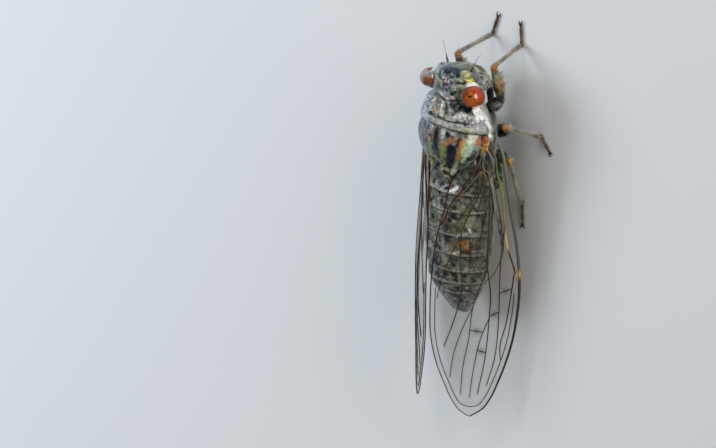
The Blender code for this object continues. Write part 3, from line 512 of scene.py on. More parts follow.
# Marks on the head's front, as (distance from the middle, z), and on the thorax's sides, as (y, z).
FACE_MARKS = (
    ("moss", 1.60, 0.40, 0.85, 0.4, ((0.0, -0.9), (0.0, -3.0))),
    ("olive", 0.30, 0.30, 0.50, 0.4, ((1.1, -1.2), (1.4, -2.0))),
    ("coal", 0.14, 0.12, 0.80, 0.5, ((1.80, -1.1), (1.95, -2.2), (1.40, -3.5))),
    ("cream", 0.10, 0.14, 0.45, 0.3, ((0.0, -1.0), (0.0, -1.9))),
    ("ash", 0.34, 0.22, 0.85, 0.2, ((2.45, -0.9), (2.40, -1.8))),
)
SIDE_MARKS = (
    ("coal", 0.70, 0.40, 0.80, 0.5, ((-5.8, -1.0), (-8.6, -0.8))),
    ("white", 0.34, 0.20, 0.95, 0.4, ((-3.5, -1.5), (-4.7, -2.0))),
    ("lime", 0.26, 0.20, 0.85, 0.4, ((-4.0, -1.95), (-4.8, -2.25))),
    ("coal", 0.20, 0.16, 0.80, 0.5, ((-4.6, -2.5), (-5.6, -2.7), (-7.4, -2.8))),
    ("leaf", 0.30, 0.24, 0.60, 0.3, ((-4.9, -2.2), (-6.0, -2.6))),
    ("leaf", 0.36, 0.26, 0.60, 0.3, ((-5.2, -3.4), (-6.4, -3.7))),
    ("cream", 0.34, 0.26, 0.55, 0.3, ((-8.2, -3.2), (-8.9, -3.4))),
    ("rust", 0.24, 0.16, 0.85, 0.5, ((-4.50, -0.70), (-5.00, -0.75))),
    ("yellow", 0.14, 0.12, 0.85, 0.5, ((-5.15, -0.95), (-5.45, -0.60))),
    ("amber", 0.20, 0.16, 0.85, 0.5, ((-5.10, -0.45), (-5.90, -0.30))),
    ("silver", 0.09, 0.10, 0.70, 0.4, ((-6.2, 0.2), (-7.4, -0.1))),
    ("brown", 0.22, 0.12, 0.80, 0.4, ((-7.50, -1.20),)),
    ("cream", 0.10, 0.08, 0.70, 0.4, ((-7.50, -1.20),)),
)
FLANK_MARKS = (
    ("silver", 0.60, 0.40, 0.70, 0.2, ((-1.4, -1.2), (-3.2, -1.6))),
    ("lilac", 0.24, 0.16, 0.80, 0.2, ((-2.7, -0.3), (-3.2, -0.6))),
    ("white", 0.17, 0.12, 0.95, 0.5, ((-1.25, -0.55), (-1.75, -0.50), (-2.35, -0.55))),
    ("white", 0.42, 0.16, 0.95, 0.5, ((-2.45, -1.05), (-3.10, -1.30), (-3.75, -1.60))),
    ("straw", 0.11, 0.10, 0.85, 0.4, ((-2.02, -0.50),)),
)
HEAD_MARKS_SHIFT = 0.30  # the head's pattern lies this much to the right, as it turns its face a little
COLLAR_MARKS_SHIFT = 0.75  # the pronotum's lies this much to the left
# Painted sheen: the silvery reflection of a cool light on the left side begins at these places: (y, x).
PAINTED_SHEEN_EDGE = (
    (2.2, -0.8), (0.0, -1.6), (-1.3, -1.9), (-3.0, -1.7), (-4.1, -1.1), (-6.7, -1.0), (-8.5, -1.6),
    (-10.0, -2.4),
)
LEG_INKS = {
    "fore": ("coal", "ash", "leaf"), "middle": ("coal", "ash", "stone"), "hind": ("coal", "moss", "stone"),
}
# How the inks of shins and knees are darkened, as factors of red, green and blue.
SHIN_TONE = (0.62, 0.50, 0.38)
KNEE_TONE = (0.90, 0.95, 0.9)
FORE_KNEE_TONE = (0.60, 0.50, 0.6)
# Colours of the eyes: above, below, towards the head, in the spot, at the rim, and on the left eye's top,
# which carries a painted reflection of the sky (umber dulls it, painted_reflection greys it).
EYE_INKS = {
    "amber": (0.33, 0.085, 0.008), "red": (0.34, 0.036, 0.009), "wine": (0.11, 0.016, 0.008),
    "spot": (0.008, 0.003, 0.003), "rim": (0.46, 0.34, 0.27), "umber": (0.20, 0.065, 0.018),
    "painted_reflection": (0.34, 0.34, 0.35),
}
SPOT_TOWARDS = (0.50, 0.37, 0.78)  # from the right eye's middle to its dark spot
SPOT_WIDE = 0.17
SPOT_HIGH = 0.10

# The camera and the lights
PICTURE = (716, 448)  # the photograph's width and height in pixels
# The picture's directions in the insect's frame.
CAMERA_RIGHT = (0.6666, 0.0084, -0.7445)
CAMERA_UP = (-0.2701, 0.9299, -0.2423)
EYES_IN_PICTURE = (451.5, 86.8)  # the pixel of the photograph that shows the middle between the eyes
PIXELS_PER_MM = 9.70
LENS = 400.0  # millimetres, like the sensor's width
SENSOR = 36.0
LIT_PLACE = (0.0, -12.0, 0.0)  # the place that the lights shine at


# Places, curves and noise


def smooth(stations, where):
    """The stations' columns at some places, on a smooth curve through them."""
    rows = np.array(stations, float)
    if rows[0, 0] > rows[-1, 0]:
        rows = rows[::-1]
    place = rows[:, 0]
    slopes = np.gradient(rows[:, 1:], place, axis=0)
    where = np.clip(np.asarray(where, float), place[0], place[-1])
    i = np.clip(np.searchsorted(place, where) - 1, 0, len(place) - 2)
    span = place[i + 1] - place[i]
    t = ((where - place[i]) / span)[..., None]
    span = span[..., None]
    near, far = rows[i, 1:], rows[i + 1, 1:]
    made = (
        (2 * t**3 - 3 * t**2 + 1) * near
        + (t**3 - 2 * t**2 + t) * span * slopes[i]
        + (3 * t**2 - 2 * t**3) * far
        + (t**3 - t**2) * span * slopes[i + 1]
    )
    return np.moveaxis(made, -1, 0)


def in_model(places):
    """Points of the insect's frame as metres in the model's frame."""
    return np.asarray(places, float) @ ALONG * MM + np.array(ORIGIN)


def in_insect(points):
    """Points of the model's frame as millimetres in the insect's frame."""
    return (np.asarray(points, float) - np.array(ORIGIN)) / MM @ ALONG.T


def over_floor(x, y, height):
    """A point at a height over the floor, with x and y in the insect's frame."""
    return (x, y, (height - ORIGIN.z / MM - y * math.sin(PITCH)) / math.cos(PITCH))


def blend(low, high, value):
    """Rises smoothly from 0 at low to 1 at high."""
    share = np.clip((value - low) / (high - low), 0, 1)
    return share * share * (3 - 2 * share)


def bell(value, width):
    """1 at zero, falling away on both sides over a width."""
    return np.exp(-((value / width) ** 2))


def cloud(places, size, seed, rounds=3):
    """Soft noise of 0 to 1, whose blotches are about size across, with finer rounds laid over them."""
    total, weight, share = 0.0, 0.0, 1.0
    for step in range(rounds):
        grid = np.random.default_rng(seed + step).random((LATTICE,) * 3)
        where = np.asarray(places) / size * 2**step + 50
        cell = np.floor(where).astype(int)
        part = where - cell
        part = part * part * (3 - 2 * part)
        found = 0.0
        for corner in range(8):
            bits = np.array([corner & 1, corner >> 1 & 1, corner >> 2 & 1])
            near = (cell + bits) % LATTICE
            weights = np.where(bits, part, 1 - part).prod(-1)
            found = found + grid[near[..., 0], near[..., 1], near[..., 2]] * weights
        total, weight, share = total + found * share, weight + share, share / 2
    return total / weight


def gap_to(places, line):
    """How far points in a plane lie from a polyline."""
    places = np.asarray(places, float)
    line = np.asarray(line, float)
    best = np.full(len(places), 1e9)
    if len(line) == 1:
        return np.linalg.norm(places - line[0], axis=1)
    for near, far in zip(line, line[1:]):
        along = far - near
        share = np.clip((places - near) @ along / max(along @ along, 1e-9), 0, 1)
        best = np.minimum(best, np.linalg.norm(places - near - share[:, None] * along, axis=1))
    return best


# Meshes


def read(items, what, width=3, kind=float):
    """One property of all of a mesh's points, sides or corners, with a row for each."""
    found = np.empty(len(items) * width, kind)
    items.foreach_get(what, found)
    return found.reshape(-1, width)


def points_of(mesh):
    """A mesh's points in the insect's frame."""
    return in_insect(read(mesh.vertices, "co"))


def normals_of(mesh):
    """The directions in which a mesh's points face, in the insect's frame."""
    return read(mesh.vertex_normals, "vector") @ ALONG.T


def move_points(mesh, places):
    """Puts a mesh's points at places of the insect's frame."""
    mesh.vertices.foreach_set("co", in_model(places).astype(np.float32).ravel())
    mesh.update()


def kept(shape, name):
    """A new mesh made of a bmesh, which is freed."""
    made = bpy.data.meshes.new(name)
    shape.to_mesh(made)
    shape.free()
    return made


def evaluated(holder):
    """The mesh of an object with its modifiers applied."""
    bpy.context.view_layer.update()
    graph = bpy.context.evaluated_depsgraph_get()
    return bpy.data.meshes.new_from_object(holder.evaluated_get(graph))


def moulded(name, around, along, place):
    """A closed ball of around by along faces. place() says where its points go, from their share of its
    length and their turn about it."""
    shape = bmesh.new()
    bmesh.ops.create_uvsphere(shape, u_segments=around, v_segments=along, radius=1.0)
    mesh = kept(shape, name)
    ball = read(mesh.vertices, "co")
    share = np.arccos(np.clip(ball[:, 2], -1, 1)) / math.pi
    turn = np.arctan2(ball[:, 1], ball[:, 0])
    move_points(mesh, np.stack(place(share, turn), -1))
    shape = bmesh.new()
    shape.from_mesh(mesh)
    bmesh.ops.recalc_face_normals(shape, faces=shape.faces[:])
    shape.to_mesh(mesh)
    shape.free()
    return mesh


def trunk(stations, bow_until=1.0, cap=0.04, swell=None, tuck=TUCK):
    """A place() that runs through the stations of a body, with closed ends. The cap is the share of its
    length that each end takes, and bow_until is the y behind which its sides bow back."""
    start, end = stations[0][0], stations[-1][0]

    def place(share, turn):
        """Where a point of the trunk goes."""
        grow = np.clip(np.minimum(share, 1 - share) / cap, 0, 1)
        y = start + (end - start) * (np.clip(share, cap, 1 - cap) - cap) / (1 - 2 * cap)
        half_width, top, side, bottom = smooth(stations, y)
        across, rise = np.cos(turn), np.sin(turn)
        wide = swell(y) if swell else 1.0
        x = half_width * across * (1 + tuck * np.minimum(rise, 0)) * grow * wide
        z = side + np.where(rise > 0, top - side, side - bottom) * rise * grow * wide
        return x, y + COLLAR_BOW * across**2 * grow * (y < bow_until), z

    return place


def ellipsoid(centre, radii, lean=0.0):
    """A place() for an egg, whose length lies along Y and which may lean up at the front."""

    def place(share, turn):
        """Where a point of the egg goes."""
        x = radii[0] * np.sin(share * math.pi) * np.cos(turn)
        z = radii[2] * np.sin(share * math.pi) * np.sin(turn)
        y = radii[1] * np.cos(share * math.pi)
        cos, sin = math.cos(lean), math.sin(lean)
        return centre[0] + x, centre[1] + y * cos - z * sin, centre[2] + y * sin + z * cos

    return place


def tapered(name, line, radii, around=24, along=40, flat=1.0):
    """A round limb along a smooth line, with a radius at each of its points and rounded ends."""
    line = np.array(line, float)
    reach = np.concatenate([[0], np.cumsum(np.linalg.norm(np.diff(line, axis=0), axis=1))])
    stations = [(at, *place, radius) for at, place, radius in zip(reach, line, radii)]
    length = reach[-1]

    def near(inner, step):
        """The line's places a step along from the given shares of its length."""
        return np.stack(smooth(stations, np.clip(inner * length + step, 0, length))[:3], -1)

    def place(share, turn):
        """Where a point of the limb goes."""
        end_cap = radii[-1] / length / 2
        first_cap = radii[0] / length / 2
        inner = np.clip((share - first_cap) / (1 - first_cap - end_cap), 0, 1)
        x, y, z, radius = smooth(stations, inner * length)
        forward = near(inner, 0.02) - near(inner, -0.02)
        forward /= np.linalg.norm(forward, axis=-1, keepdims=True)
        sideways = np.cross(forward, (0.0, 0.0, 1.0))
        sideways /= np.maximum(np.linalg.norm(sideways, axis=-1, keepdims=True), 1e-6)
        upward = np.cross(sideways, forward)
        after = np.maximum(share - 1 + end_cap, 0) / end_cap
        beyond = np.where(share < first_cap, share / first_cap - 1, after)
        grow = np.sqrt(np.clip(1 - beyond**2, 0, 1)) * radius
        centre = np.stack([x, y, z], -1) + forward * (beyond * radius * 0.8)[..., None]
        offset = sideways * np.cos(turn)[..., None] * flat + upward * np.sin(turn)[..., None]
        return np.moveaxis(centre + offset * grow[..., None], -1, 0)

    return moulded(name, around, along, place)


def beside(side, centre):
    """A centre of the right side moved to the right (1) or left (-1) side."""
    return (side * centre[0], centre[1], centre[2])


def mirrored(mesh):
    """The mirror image of a mesh, across the insect's middle."""
    shape = bmesh.new()
    shape.from_mesh(mesh)
    shape.transform(Matrix.Scale(-1, 4, (1, 0, 0)))
    bmesh.ops.reverse_faces(shape, faces=shape.faces[:])
    return kept(shape, mesh.name)


def gathered(name, meshes):
    """Several meshes as one, their points in the same order."""
    shape = bmesh.new()
    for mesh in meshes:
        shape.from_mesh(mesh)
    return kept(shape, name)


def joined(name, meshes):
    """One closed mesh made of several that overlap."""
    parts = bpy.data.collections.new(name)
    for mesh in meshes[1:]:
        parts.objects.link(bpy.data.objects.new(mesh.name, mesh))
    base = bpy.data.objects.new(name, meshes[0])
    bpy.context.scene.collection.objects.link(base)
    union = base.modifiers.new("union", "BOOLEAN")
    union.operation = "UNION"
    union.operand_type = "COLLECTION"
    union.collection = parts
    union.solver = "MANIFOLD"
    made = evaluated(base)
    made.name = name
    made.materials.clear()
    for piece in (base, *parts.objects):
        bpy.data.objects.remove(piece)
    bpy.data.collections.remove(parts)
    return made


# Body, legs and antennae


def head_mesh():
    """The head: capsule, ridged bulge of the face, cheeks, ledges over the antennae, eye sockets, muzzle."""
    capsule = moulded("capsule", 120, 90, trunk(HEAD, cap=0.16))
    face = moulded("face", 110, 90, ellipsoid(FACE_CENTRE, FACE_RADII, FACE_LEAN))
    places = points_of(face)
    aside = np.abs(places[:, 0])
    ridges = np.cos(2 * math.pi * (places[:, 2] + 0.25 * aside) / FACE_RIDGE_PITCH)
    ridges *= FACE_RIDGE_DEPTH * blend(0.25, 0.55, aside) * blend(1.75, 1.1, aside)
    move_points(face, places + normals_of(face) * ridges[:, None])
    pieces = [capsule, face, moulded("muzzle", 40, 30, ellipsoid(*MUZZLE))]
    for side in (-1, 1):
        orbit = (side * ORBIT_X, -side * HEAD_TURN, ORBIT_Z)
        for name, around, along, (centre, radii, lean) in (
            ("cheek", 50, 40, CHEEK), ("ledge", 40, 30, LEDGE),
        ):
            pieces.append(moulded(name, around, along, ellipsoid(beside(side, centre), radii, lean)))
        pieces.append(moulded("orbit", 50, 40, ellipsoid(orbit, ORBIT_RADII)))
    return pieces


def beak_mesh():
    """The beak, folded back between the hips."""
    return tapered("beak", ROSTRUM, ROSTRUM_RADII, 24, 60)


def tergite_swell(y):
    """Each ring of the abdomen widens to its hind edge, and the next one starts inside it."""
    ends = np.array(TERGITE_ENDS)
    starts = np.array((ABDOMEN[0][0], *TERGITE_ENDS[:-1]))
    ring = np.clip(np.searchsorted(-ends, -y), 0, len(ends) - 1)
    share = np.clip((y - starts[ring]) / (ends[ring] - starts[ring]), 0, 1)
    lip = 0.040 * share - 0.030 * blend(0.86, 1.0, share) + 0.012 * blend(0.72, 0.80, share)
    return 0.975 + np.where(ring < len(ends) - 1, lip, 0.02 * (1 - share))


def emboss(mesh, relief):
    """Moves a mesh's points in or out by relief(), which gives millimetres for places."""
    places = points_of(mesh)
    move_points(mesh, places + normals_of(mesh) * relief(places)[:, None])
    return mesh


def furrowed(flat, furrows):
    """The height, below zero, that furrows of (line, width, depth) give to places in their plane."""
    return -sum(depth * bell(gap_to(flat, line), width) for line, width, depth in furrows)


def pronotum_relief(places):
    """The raised middle band, the slanting furrows and the groove in front of the collar."""
    flat = np.stack([np.abs(places[:, 0]), places[:, 1]], -1)
    band = 0.07 * bell(flat[:, 0], 0.42) * blend(-3.0, -2.6, places[:, 1])
    made = furrowed(flat, PRONOTUM_FURROWS) + band
    return made * blend(-0.6, 0.2, places[:, 2]) + 0.016 * (cloud(places, 0.5, 3) - 0.5)


def mesonotum_relief(places):
    """The shallow furrows of the shield and the hollow round its cross."""
    flat = np.stack([np.abs(places[:, 0]), places[:, 1]], -1)
    return furrowed(flat, MESONOTUM_FURROWS) + 0.025 * (cloud(places, 0.6, 5) - 0.5)


def thorax_relief(places):
    """The plates of the thorax's sides, parted by furrows."""
    made = furrowed(places[:, 1:], [(line, *THORAX_FURROW) for line in THORAX_FURROWS])
    return made * blend(1.2, 2.4, np.abs(places[:, 0])) + 0.05 * (cloud(places, 0.8, 7) - 0.5)


def abdomen_relief(places):
    """Shallow dimples, and the fold that parts each back plate from its belly plate."""
    fold = bell(places[:, 2] + 2.75 + 0.03 * (places[:, 1] + 17), 0.16)
    made = -0.16 * fold * blend(1.0, 2.0, np.abs(places[:, 0]))
    made -= 0.03 * bell(places[:, 0], 0.12) * (places[:, 2] > -1)
    return made + 0.045 * (cloud(places, 0.45, 11) - 0.5) + 0.05 * (cloud(places, 1.6, 13) - 0.5)


def body_mesh():
    """Head, thorax and abdomen as one closed skin."""
    shells = (
        ("abdomen", 230, 260, trunk(ABDOMEN, cap=0.02, swell=tergite_swell), abdomen_relief),
        ("pronotum", 220, 90, trunk(PRONOTUM, bow_until=-2.9, cap=0.12, tuck=COLLAR_TUCK), pronotum_relief),
        ("mesonotum", 200, 150, trunk(MESONOTUM, bow_until=-3.2, cap=0.05), mesonotum_relief),
        ("thorax", 200, 120, trunk(THORAX, cap=0.05), thorax_relief),
    )
    pieces = [emboss(moulded(*shell), relief) for *shell, relief in shells]
    pieces += [beak_mesh(), *head_mesh()]
    for side in (-1, 1):
        arm = [beside(side, place) for place in SCUTELLUM_ARM]
        pieces.append(tapered("arm", arm, SCUTELLUM_RADII, 20, 40))
        plates = [("hinge", 30, 24, plate) for plate in HINGES]
        plates += [("operculum", 50, 40, OPERCULUM), ("drum_cover", 50, 40, DRUM_COVER)]
        for name, around, along, (centre, radii) in plates:
            pieces.append(moulded(name, around, along, ellipsoid(beside(side, centre), radii)))
        for which in LEGS:
            hip, trochanter, *_ = leg_places(which, side)
            coxa = [hip + (trochanter - hip) * share for share in (-0.35, 0.0, 0.35, 0.75, 1.0)]
            pieces.append(tapered("coxa", coxa, COXA_RADII, 30, 40))
    return joined("skin", pieces)


def leg_places(which, side, toe_height=TARSUS_HEIGHT):
    """The hip, trochanter, knee, ankle, heel and toe of a leg."""
    leg = LEGS[which]
    ankle = over_floor(*leg["ankle"], ANKLE_HEIGHT)
    heel = over_floor(*leg["ankle"], TARSUS_HEIGHT)
    toe = over_floor(*leg["toe"], toe_height)
    places = (leg["hip"], leg["trochanter"], leg["knee"], ankle, heel, toe)
    return [np.array(place) * (side, 1, 1) for place in places]


def leg_meshes(which, side):
    """A leg from its trochanter to its foot as one skin, and its two claws."""
    leg = LEGS[which]
    _, trochanter, knee, ankle, heel, toe = leg_places(which, side, TOE_HEIGHT)
    thick, thin = leg["femur"], leg["tibia"]
    thigh = knee - trochanter
    forward = thigh / np.linalg.norm(thigh)
    hinge = knee + forward * leg["knee_gap"]
    down = np.array((0.0, math.sin(PITCH), -math.cos(PITCH)))

    def on_thigh(share, drop=0.0):
        """A place along the thigh, dropped towards the floor."""
        return trochanter + thigh * share + down * drop

    bow = thick * 0.16
    bows = ((-0.06, 0.0), (0.10, 0.0), (0.34, bow), (0.62, bow), (0.86, 0.0), (1.0, 0.0))
    femur_radii = (0.30, 0.72 * thick, thick, 0.92 * thick, 0.64 * thick, 0.33)
    shin = ankle - hinge
    tibia = [hinge - forward * 0.12, *(hinge + shin * share for share in (0.05, 0.14, 0.5, 0.9)), ankle]
    tibia_radii = (0.20, 0.26, 1.1 * thin, 0.85 * thin, 1.05 * thin, 1.1 * thin)
    knee_line = [knee - forward * 0.15, knee + forward * 0.05, hinge]
    pieces = [tapered("femur", [on_thigh(*bend) for bend in bows], femur_radii, 40, 70, 0.80)]
    pieces.append(tapered("knee", knee_line, KNEE_RADII, 28, 24))
    pieces.append(tapered("tibia", tibia, tibia_radii, 30, 80))
    for start, end, radius in TARSUS_JOINTS:
        shares = [start + (end - start) * share for share in (0.0, 0.3, 0.75, 1.04)]
        radii = (radius * 0.7, radius, radius * 1.06, radius * 0.78)
        pieces.append(tapered("tarsus", [heel + (toe - heel) * share for share in shares], radii, 22, 24))
    pieces.append(tapered("ankle", [ankle, (ankle + heel) / 2, heel], ANKLE_RADII, 22, 16))
    for share, length in FEMUR_SPINES if which == "fore" else ():
        root = on_thigh(share, thick * 0.5)
        tip = root + down * (thick * 0.45 + length) + forward * length * 0.55
        spine = [root, (root * 0.55 + tip * 0.45), tip]
        pieces.append(tapered("spine", spine, SPINE_RADII, 18, 24))
    for share, turn in TIBIA_SPURS[which]:
        root = hinge + shin * share
        out = np.array((math.cos(turn) * side, math.sin(turn) * 0.4, -0.5))
        tip = root + shin / np.linalg.norm(shin) * 0.42 + out * 0.34
        pieces.append(tapered("spur", [root, (root + tip) / 2, tip], SPUR_RADII, 10, 12))
    return joined("leg", pieces), claw_meshes(heel, toe, down)


def claw_meshes(heel, toe, down):
    """The two curved claws at the end of a foot."""
    forward = (toe - heel) / np.linalg.norm(toe - heel)
    across = np.cross(forward, down)
    claws = []
    for turn in (-1, 1):
        base = toe + forward * 0.02 + across * turn * 0.05
        middle = base + forward * 0.28 + across * turn * 0.14 - down * 0.03
        tip = base + forward * 0.50 + across * turn * 0.26 + down * 0.08
        claws.append(tapered("claw", [base, middle, tip], CLAW_RADII, 14, 20))
    return claws


def feeler_mesh(side):
    """An antenna: two stout joints and a bristle of five fine ones."""
    line = [np.array(place) * (side, 1, 1) for place in ANTENNA]
    pieces = [tapered("scape", line[:3], SCAPE_RADII, 24, 20)]
    pieces.append(tapered("pedicel", line[1:4], PEDICEL_RADII, 20, 20))
    for near, far, radius in zip(line[3:], line[4:], BRISTLE_RADII):
        step = far - near
        joint = [near - step * 0.08, near + step * 0.4, far]
        pieces.append(tapered("joint", joint, (radius * 0.8, radius * 0.9, radius), 12, 14))
    return joined("feeler", pieces)


# Wings


def on_roof(u, q, lift=0.0):
    """A place on the wing roof: u back from the root, q out from the ridge, lift out of the sheet."""
    start, curl = math.radians(ROOF_SLOPE), math.radians(ROOF_CURL)
    end = start + curl * q
    out = (np.sin(end) - math.sin(start)) / curl
    drop = (math.cos(start) - np.cos(end)) / curl
    ridge = smooth(RIDGE, u)[0]
    return out + lift * np.sin(end), ROOT_Y - u, ridge - drop + lift * np.cos(end)


def off_roof(places):
    """The (u, q) over which points near the wing roof lie."""
    start, curl = math.radians(ROOF_SLOPE), math.radians(ROOF_CURL)
    out = np.abs(places[:, 0])
    return ROOT_Y - places[:, 1], (np.arcsin(np.clip(math.sin(start) + curl * out, -1, 1)) - start) / curl


def between_veins(u, q, veins):
    """How far places of a wing lie from its nearest vein."""
    where = np.stack([u, q], -1)
    return np.min([gap_to(where, line) for _, _, _, line in veins], axis=0)


def wing_sheet(name, costa, hind, veins, drop, along=170, across=70):
    """The clear membrane of a wing, a little arched between its veins, as a thin sheet."""
    shape = bmesh.new()
    bmesh.ops.create_grid(shape, x_segments=along, y_segments=across, size=0.5)
    mesh = kept(shape, name)
    flat = read(mesh.vertices, "co") + 0.5
    start, tip = costa[0][0], costa[-1][0]
    u = start + (tip - start) * np.sin(0.485 * math.pi * flat[:, 0])
    inner, outer = smooth(hind, u)[0], smooth(costa, u)[0]
    q = inner + (outer - inner) * flat[:, 1]
    arch = 0.07 * (1 - bell(between_veins(u, q, veins), 0.45))
    ripple = 0.035 * (cloud(np.stack([u * 0.7, q, 0 * q], -1), 0.9, 31) - 0.5)
    move_points(mesh, np.stack(on_roof(u, q, arch + ripple - drop), -1))
    shape = bmesh.new()
    shape.from_mesh(mesh)
    bmesh.ops.remove_doubles(shape, verts=shape.verts[:], dist=0.002 * MM)
    bmesh.ops.recalc_face_normals(shape, faces=shape.faces[:])
    bmesh.ops.solidify(shape, geom=shape.faces[:], thickness=SHEET * MM)
    bmesh.ops.recalc_face_normals(shape, faces=shape.faces[:])
    shape.to_mesh(mesh)
    shape.free()
    return mesh


def rim_lines(costa, hind):
    """The lines along a wing's edges, and the vein that runs a little inside its outer edge."""
    start, tip = costa[0][0], costa[-1][0]
    u = start + (tip - start) * np.sin(0.5 * math.pi * np.linspace(0, 1, 40))
    inner, outer = smooth(hind, u)[0], smooth(costa, u)[0]
    leading = np.stack([u, outer], -1)
    trailing = np.stack([u, inner], -1)
    around = np.concatenate([leading, trailing[-2::-1]])
    step = np.gradient(around, axis=0)
    inward = np.stack([step[:, 1], -step[:, 0]], -1) / np.linalg.norm(step, axis=1)[:, None]
    middle = np.array((u.mean(), 4.5))
    inward *= np.sign(((middle - around) * inward).sum(-1))[:, None]
    inside = around + inward * RIM_INSET
    return leading, trailing, inside[(around[:, 0] > RIM_FROM) & (around[:, 0] < tip - RIM_TURN)]


def fore_veins():
    """The forewing's veins with those of its edges."""
    leading, trailing, inside = rim_lines(FORE_COSTA, FORE_HIND)
    front = ("costa", 0.25, 0.07, leading)
    back = ("margin", 0.095, 0.05, trailing)
    return (*FORE_VEINS, front, back, ("branch", 0.06, 0.05, inside))


def vein_tubes(name, veins, drop):
    """All the veins of a wing as tapered tubes, painted along their length."""
    tubes, colours = [], []
    for kind, thick, thin, line in veins:
        line = np.asarray(line, float)
        places = np.stack(on_roof(line[:, 0], line[:, 1], 0.02 - drop), -1)
        length = np.linalg.norm(np.diff(places, axis=0), axis=1).sum()
        radii = np.linspace(thick, thin, len(line)) * VEIN_SCALE
        tube = tapered(name, places, radii, 10, max(12, int(length * 5)))
        u, _ = off_roof(points_of(tube))
        tubes.append(tube)
        colours.append(coloured_along(VEIN_COLOURS[kind], u))
    made = gathered(name, tubes)
    paint(made, np.concatenate(colours))
    return made


# Materials


def new_finish(name, colour, roughness, more=None):
    """A material and its Principled shader. More holds further inputs of the shader."""
    made = bpy.data.materials.new(name)
    made.use_nodes = True
    shader = made.node_tree.nodes["Principled BSDF"]
    for socket, value in {"Base Color": (*colour, 1.0), "Roughness": roughness, **(more or {})}.items():
        shader.inputs[socket].default_value = value
    return made, shader


def painted_finish(name, colour, roughness, more=None):
    """A material in a mesh's painted colours, its shader, and the outputs of the paint."""
    made, shader = new_finish(name, colour, roughness, more)
    painted = made.node_tree.nodes.new("ShaderNodeAttribute")
    painted.attribute_name = "paint"
    made.node_tree.links.new(painted.outputs["Color"], shader.inputs["Base Color"])
    return made, shader, painted.outputs


def texture(tree, kind, **inputs):
    """The outputs of a texture node that reads Object coordinates."""
    where, made = tree.nodes.new("ShaderNodeTexCoord"), tree.nodes.new(kind)
    for name, value in inputs.items():
        made.inputs[name].default_value = value
    tree.links.new(where.outputs["Object"], made.inputs["Vector"])
    return made.outputs


def add_bump(tree, height, strength, depth):
    """Lets a height roughen a material's surface, by millimetres."""
    bump = tree.nodes.new("ShaderNodeBump")
    bump.inputs["Strength"].default_value = strength
    bump.inputs["Distance"].default_value = depth * MM
    tree.links.new(height, bump.inputs["Height"])
    tree.links.new(bump.outputs["Normal"], tree.nodes["Principled BSDF"].inputs["Normal"])


def membrane_finish():
    """Clear wing membrane: faintly smoky, glossy, and silvery where it is seen along its surface."""
    made, shader, painted = painted_finish("membrane", (0.16, 0.14, 0.11), 0.14, {"IOR": 2.0})
    tree = made.node_tree
    grazing = tree.nodes.new("ShaderNodeLayerWeight")
    grazing.inputs["Blend"].default_value = 0.22
    shine = tree.nodes.new("ShaderNodeMath")
    shine.operation = "MULTIPLY_ADD"
    shine.use_clamp = True
    shine.inputs[1].default_value = 0.42
    tree.links.new(grazing.outputs["Fresnel"], shine.inputs[0])
    tree.links.new(painted["Alpha"], shine.inputs[2])
    tree.links.new(shine.outputs[0], shader.inputs["Alpha"])
    noise = texture(tree, "ShaderNodeTexNoise", Scale=2600.0, Detail=3.0)
    add_bump(tree, noise["Fac"], 0.35, 0.06)
    return made


def vein_finish():
    """Hard, glossy veins in the painted colours."""
    return painted_finish("veins", (0.1, 0.06, 0.04), 0.32)[0]


def fine_grain():
    """A node group: fine speckle over a colour, with the roughness and height of worn, pitted horn."""
    group = bpy.data.node_groups.new("fine_grain", "ShaderNodeTree")
    colour, number = "NodeSocketColor", "NodeSocketFloat"
    sockets = (
        ("INPUT", "Colour", colour), ("INPUT", "Gloss", number), ("INPUT", "Grain", number),
        ("OUTPUT", "Colour", colour), ("OUTPUT", "Roughness", number), ("OUTPUT", "Height", number),
    )
    for way, name, kind in sockets:
        group.interface.new_socket(name, in_out=way, socket_type=kind)
    nodes, links = group.nodes, group.links
    given, made = nodes.new("NodeGroupInput"), nodes.new("NodeGroupOutput")

    def maths(operation, first, second=None, third=None):
        """The outcome of one sum with sockets and numbers."""
        node = nodes.new("ShaderNodeMath")
        node.operation = operation
        for socket, value in zip(node.inputs, (first, second, third)):
            if isinstance(value, (int, float)):
                socket.default_value = value
            elif value is not None:
                links.new(value, socket)
        return node.outputs[0]

    fine, coarse = (
        texture(group, "ShaderNodeTexNoise", Scale=1 / (size * MM), Detail=detail, Roughness=0.62)["Fac"]
        for size, detail in ((0.15, 6.0), (0.5, 3.0))
    )
    pits = texture(group, "ShaderNodeTexVoronoi", Scale=1 / (0.09 * MM))["Distance"]
    shade = maths("MAXIMUM", maths("MULTIPLY_ADD", fine, 3.2, -0.55), 0.12)
    shade = maths("MULTIPLY", shade, maths("MULTIPLY_ADD", coarse, 0.8, 0.60))
    shade = maths("POWER", shade, given.outputs["Grain"])
    scaled = nodes.new("ShaderNodeVectorMath")
    scaled.operation = "SCALE"
    links.new(given.outputs["Colour"], scaled.inputs[0])
    links.new(shade, scaled.inputs["Scale"])
    links.new(scaled.outputs[0], made.inputs["Colour"])
    dull = maths("MULTIPLY_ADD", given.outputs["Gloss"], -0.42, 0.62)
    rough = maths("MULTIPLY_ADD", maths("SUBTRACT", fine, 0.5), 0.5, dull)
    links.new(maths("MAXIMUM", rough, 0.10), made.inputs["Roughness"])
    height = maths("MULTIPLY_ADD", pits, 0.6, fine)
    links.new(maths("ADD", height, coarse), made.inputs["Height"])
    return group


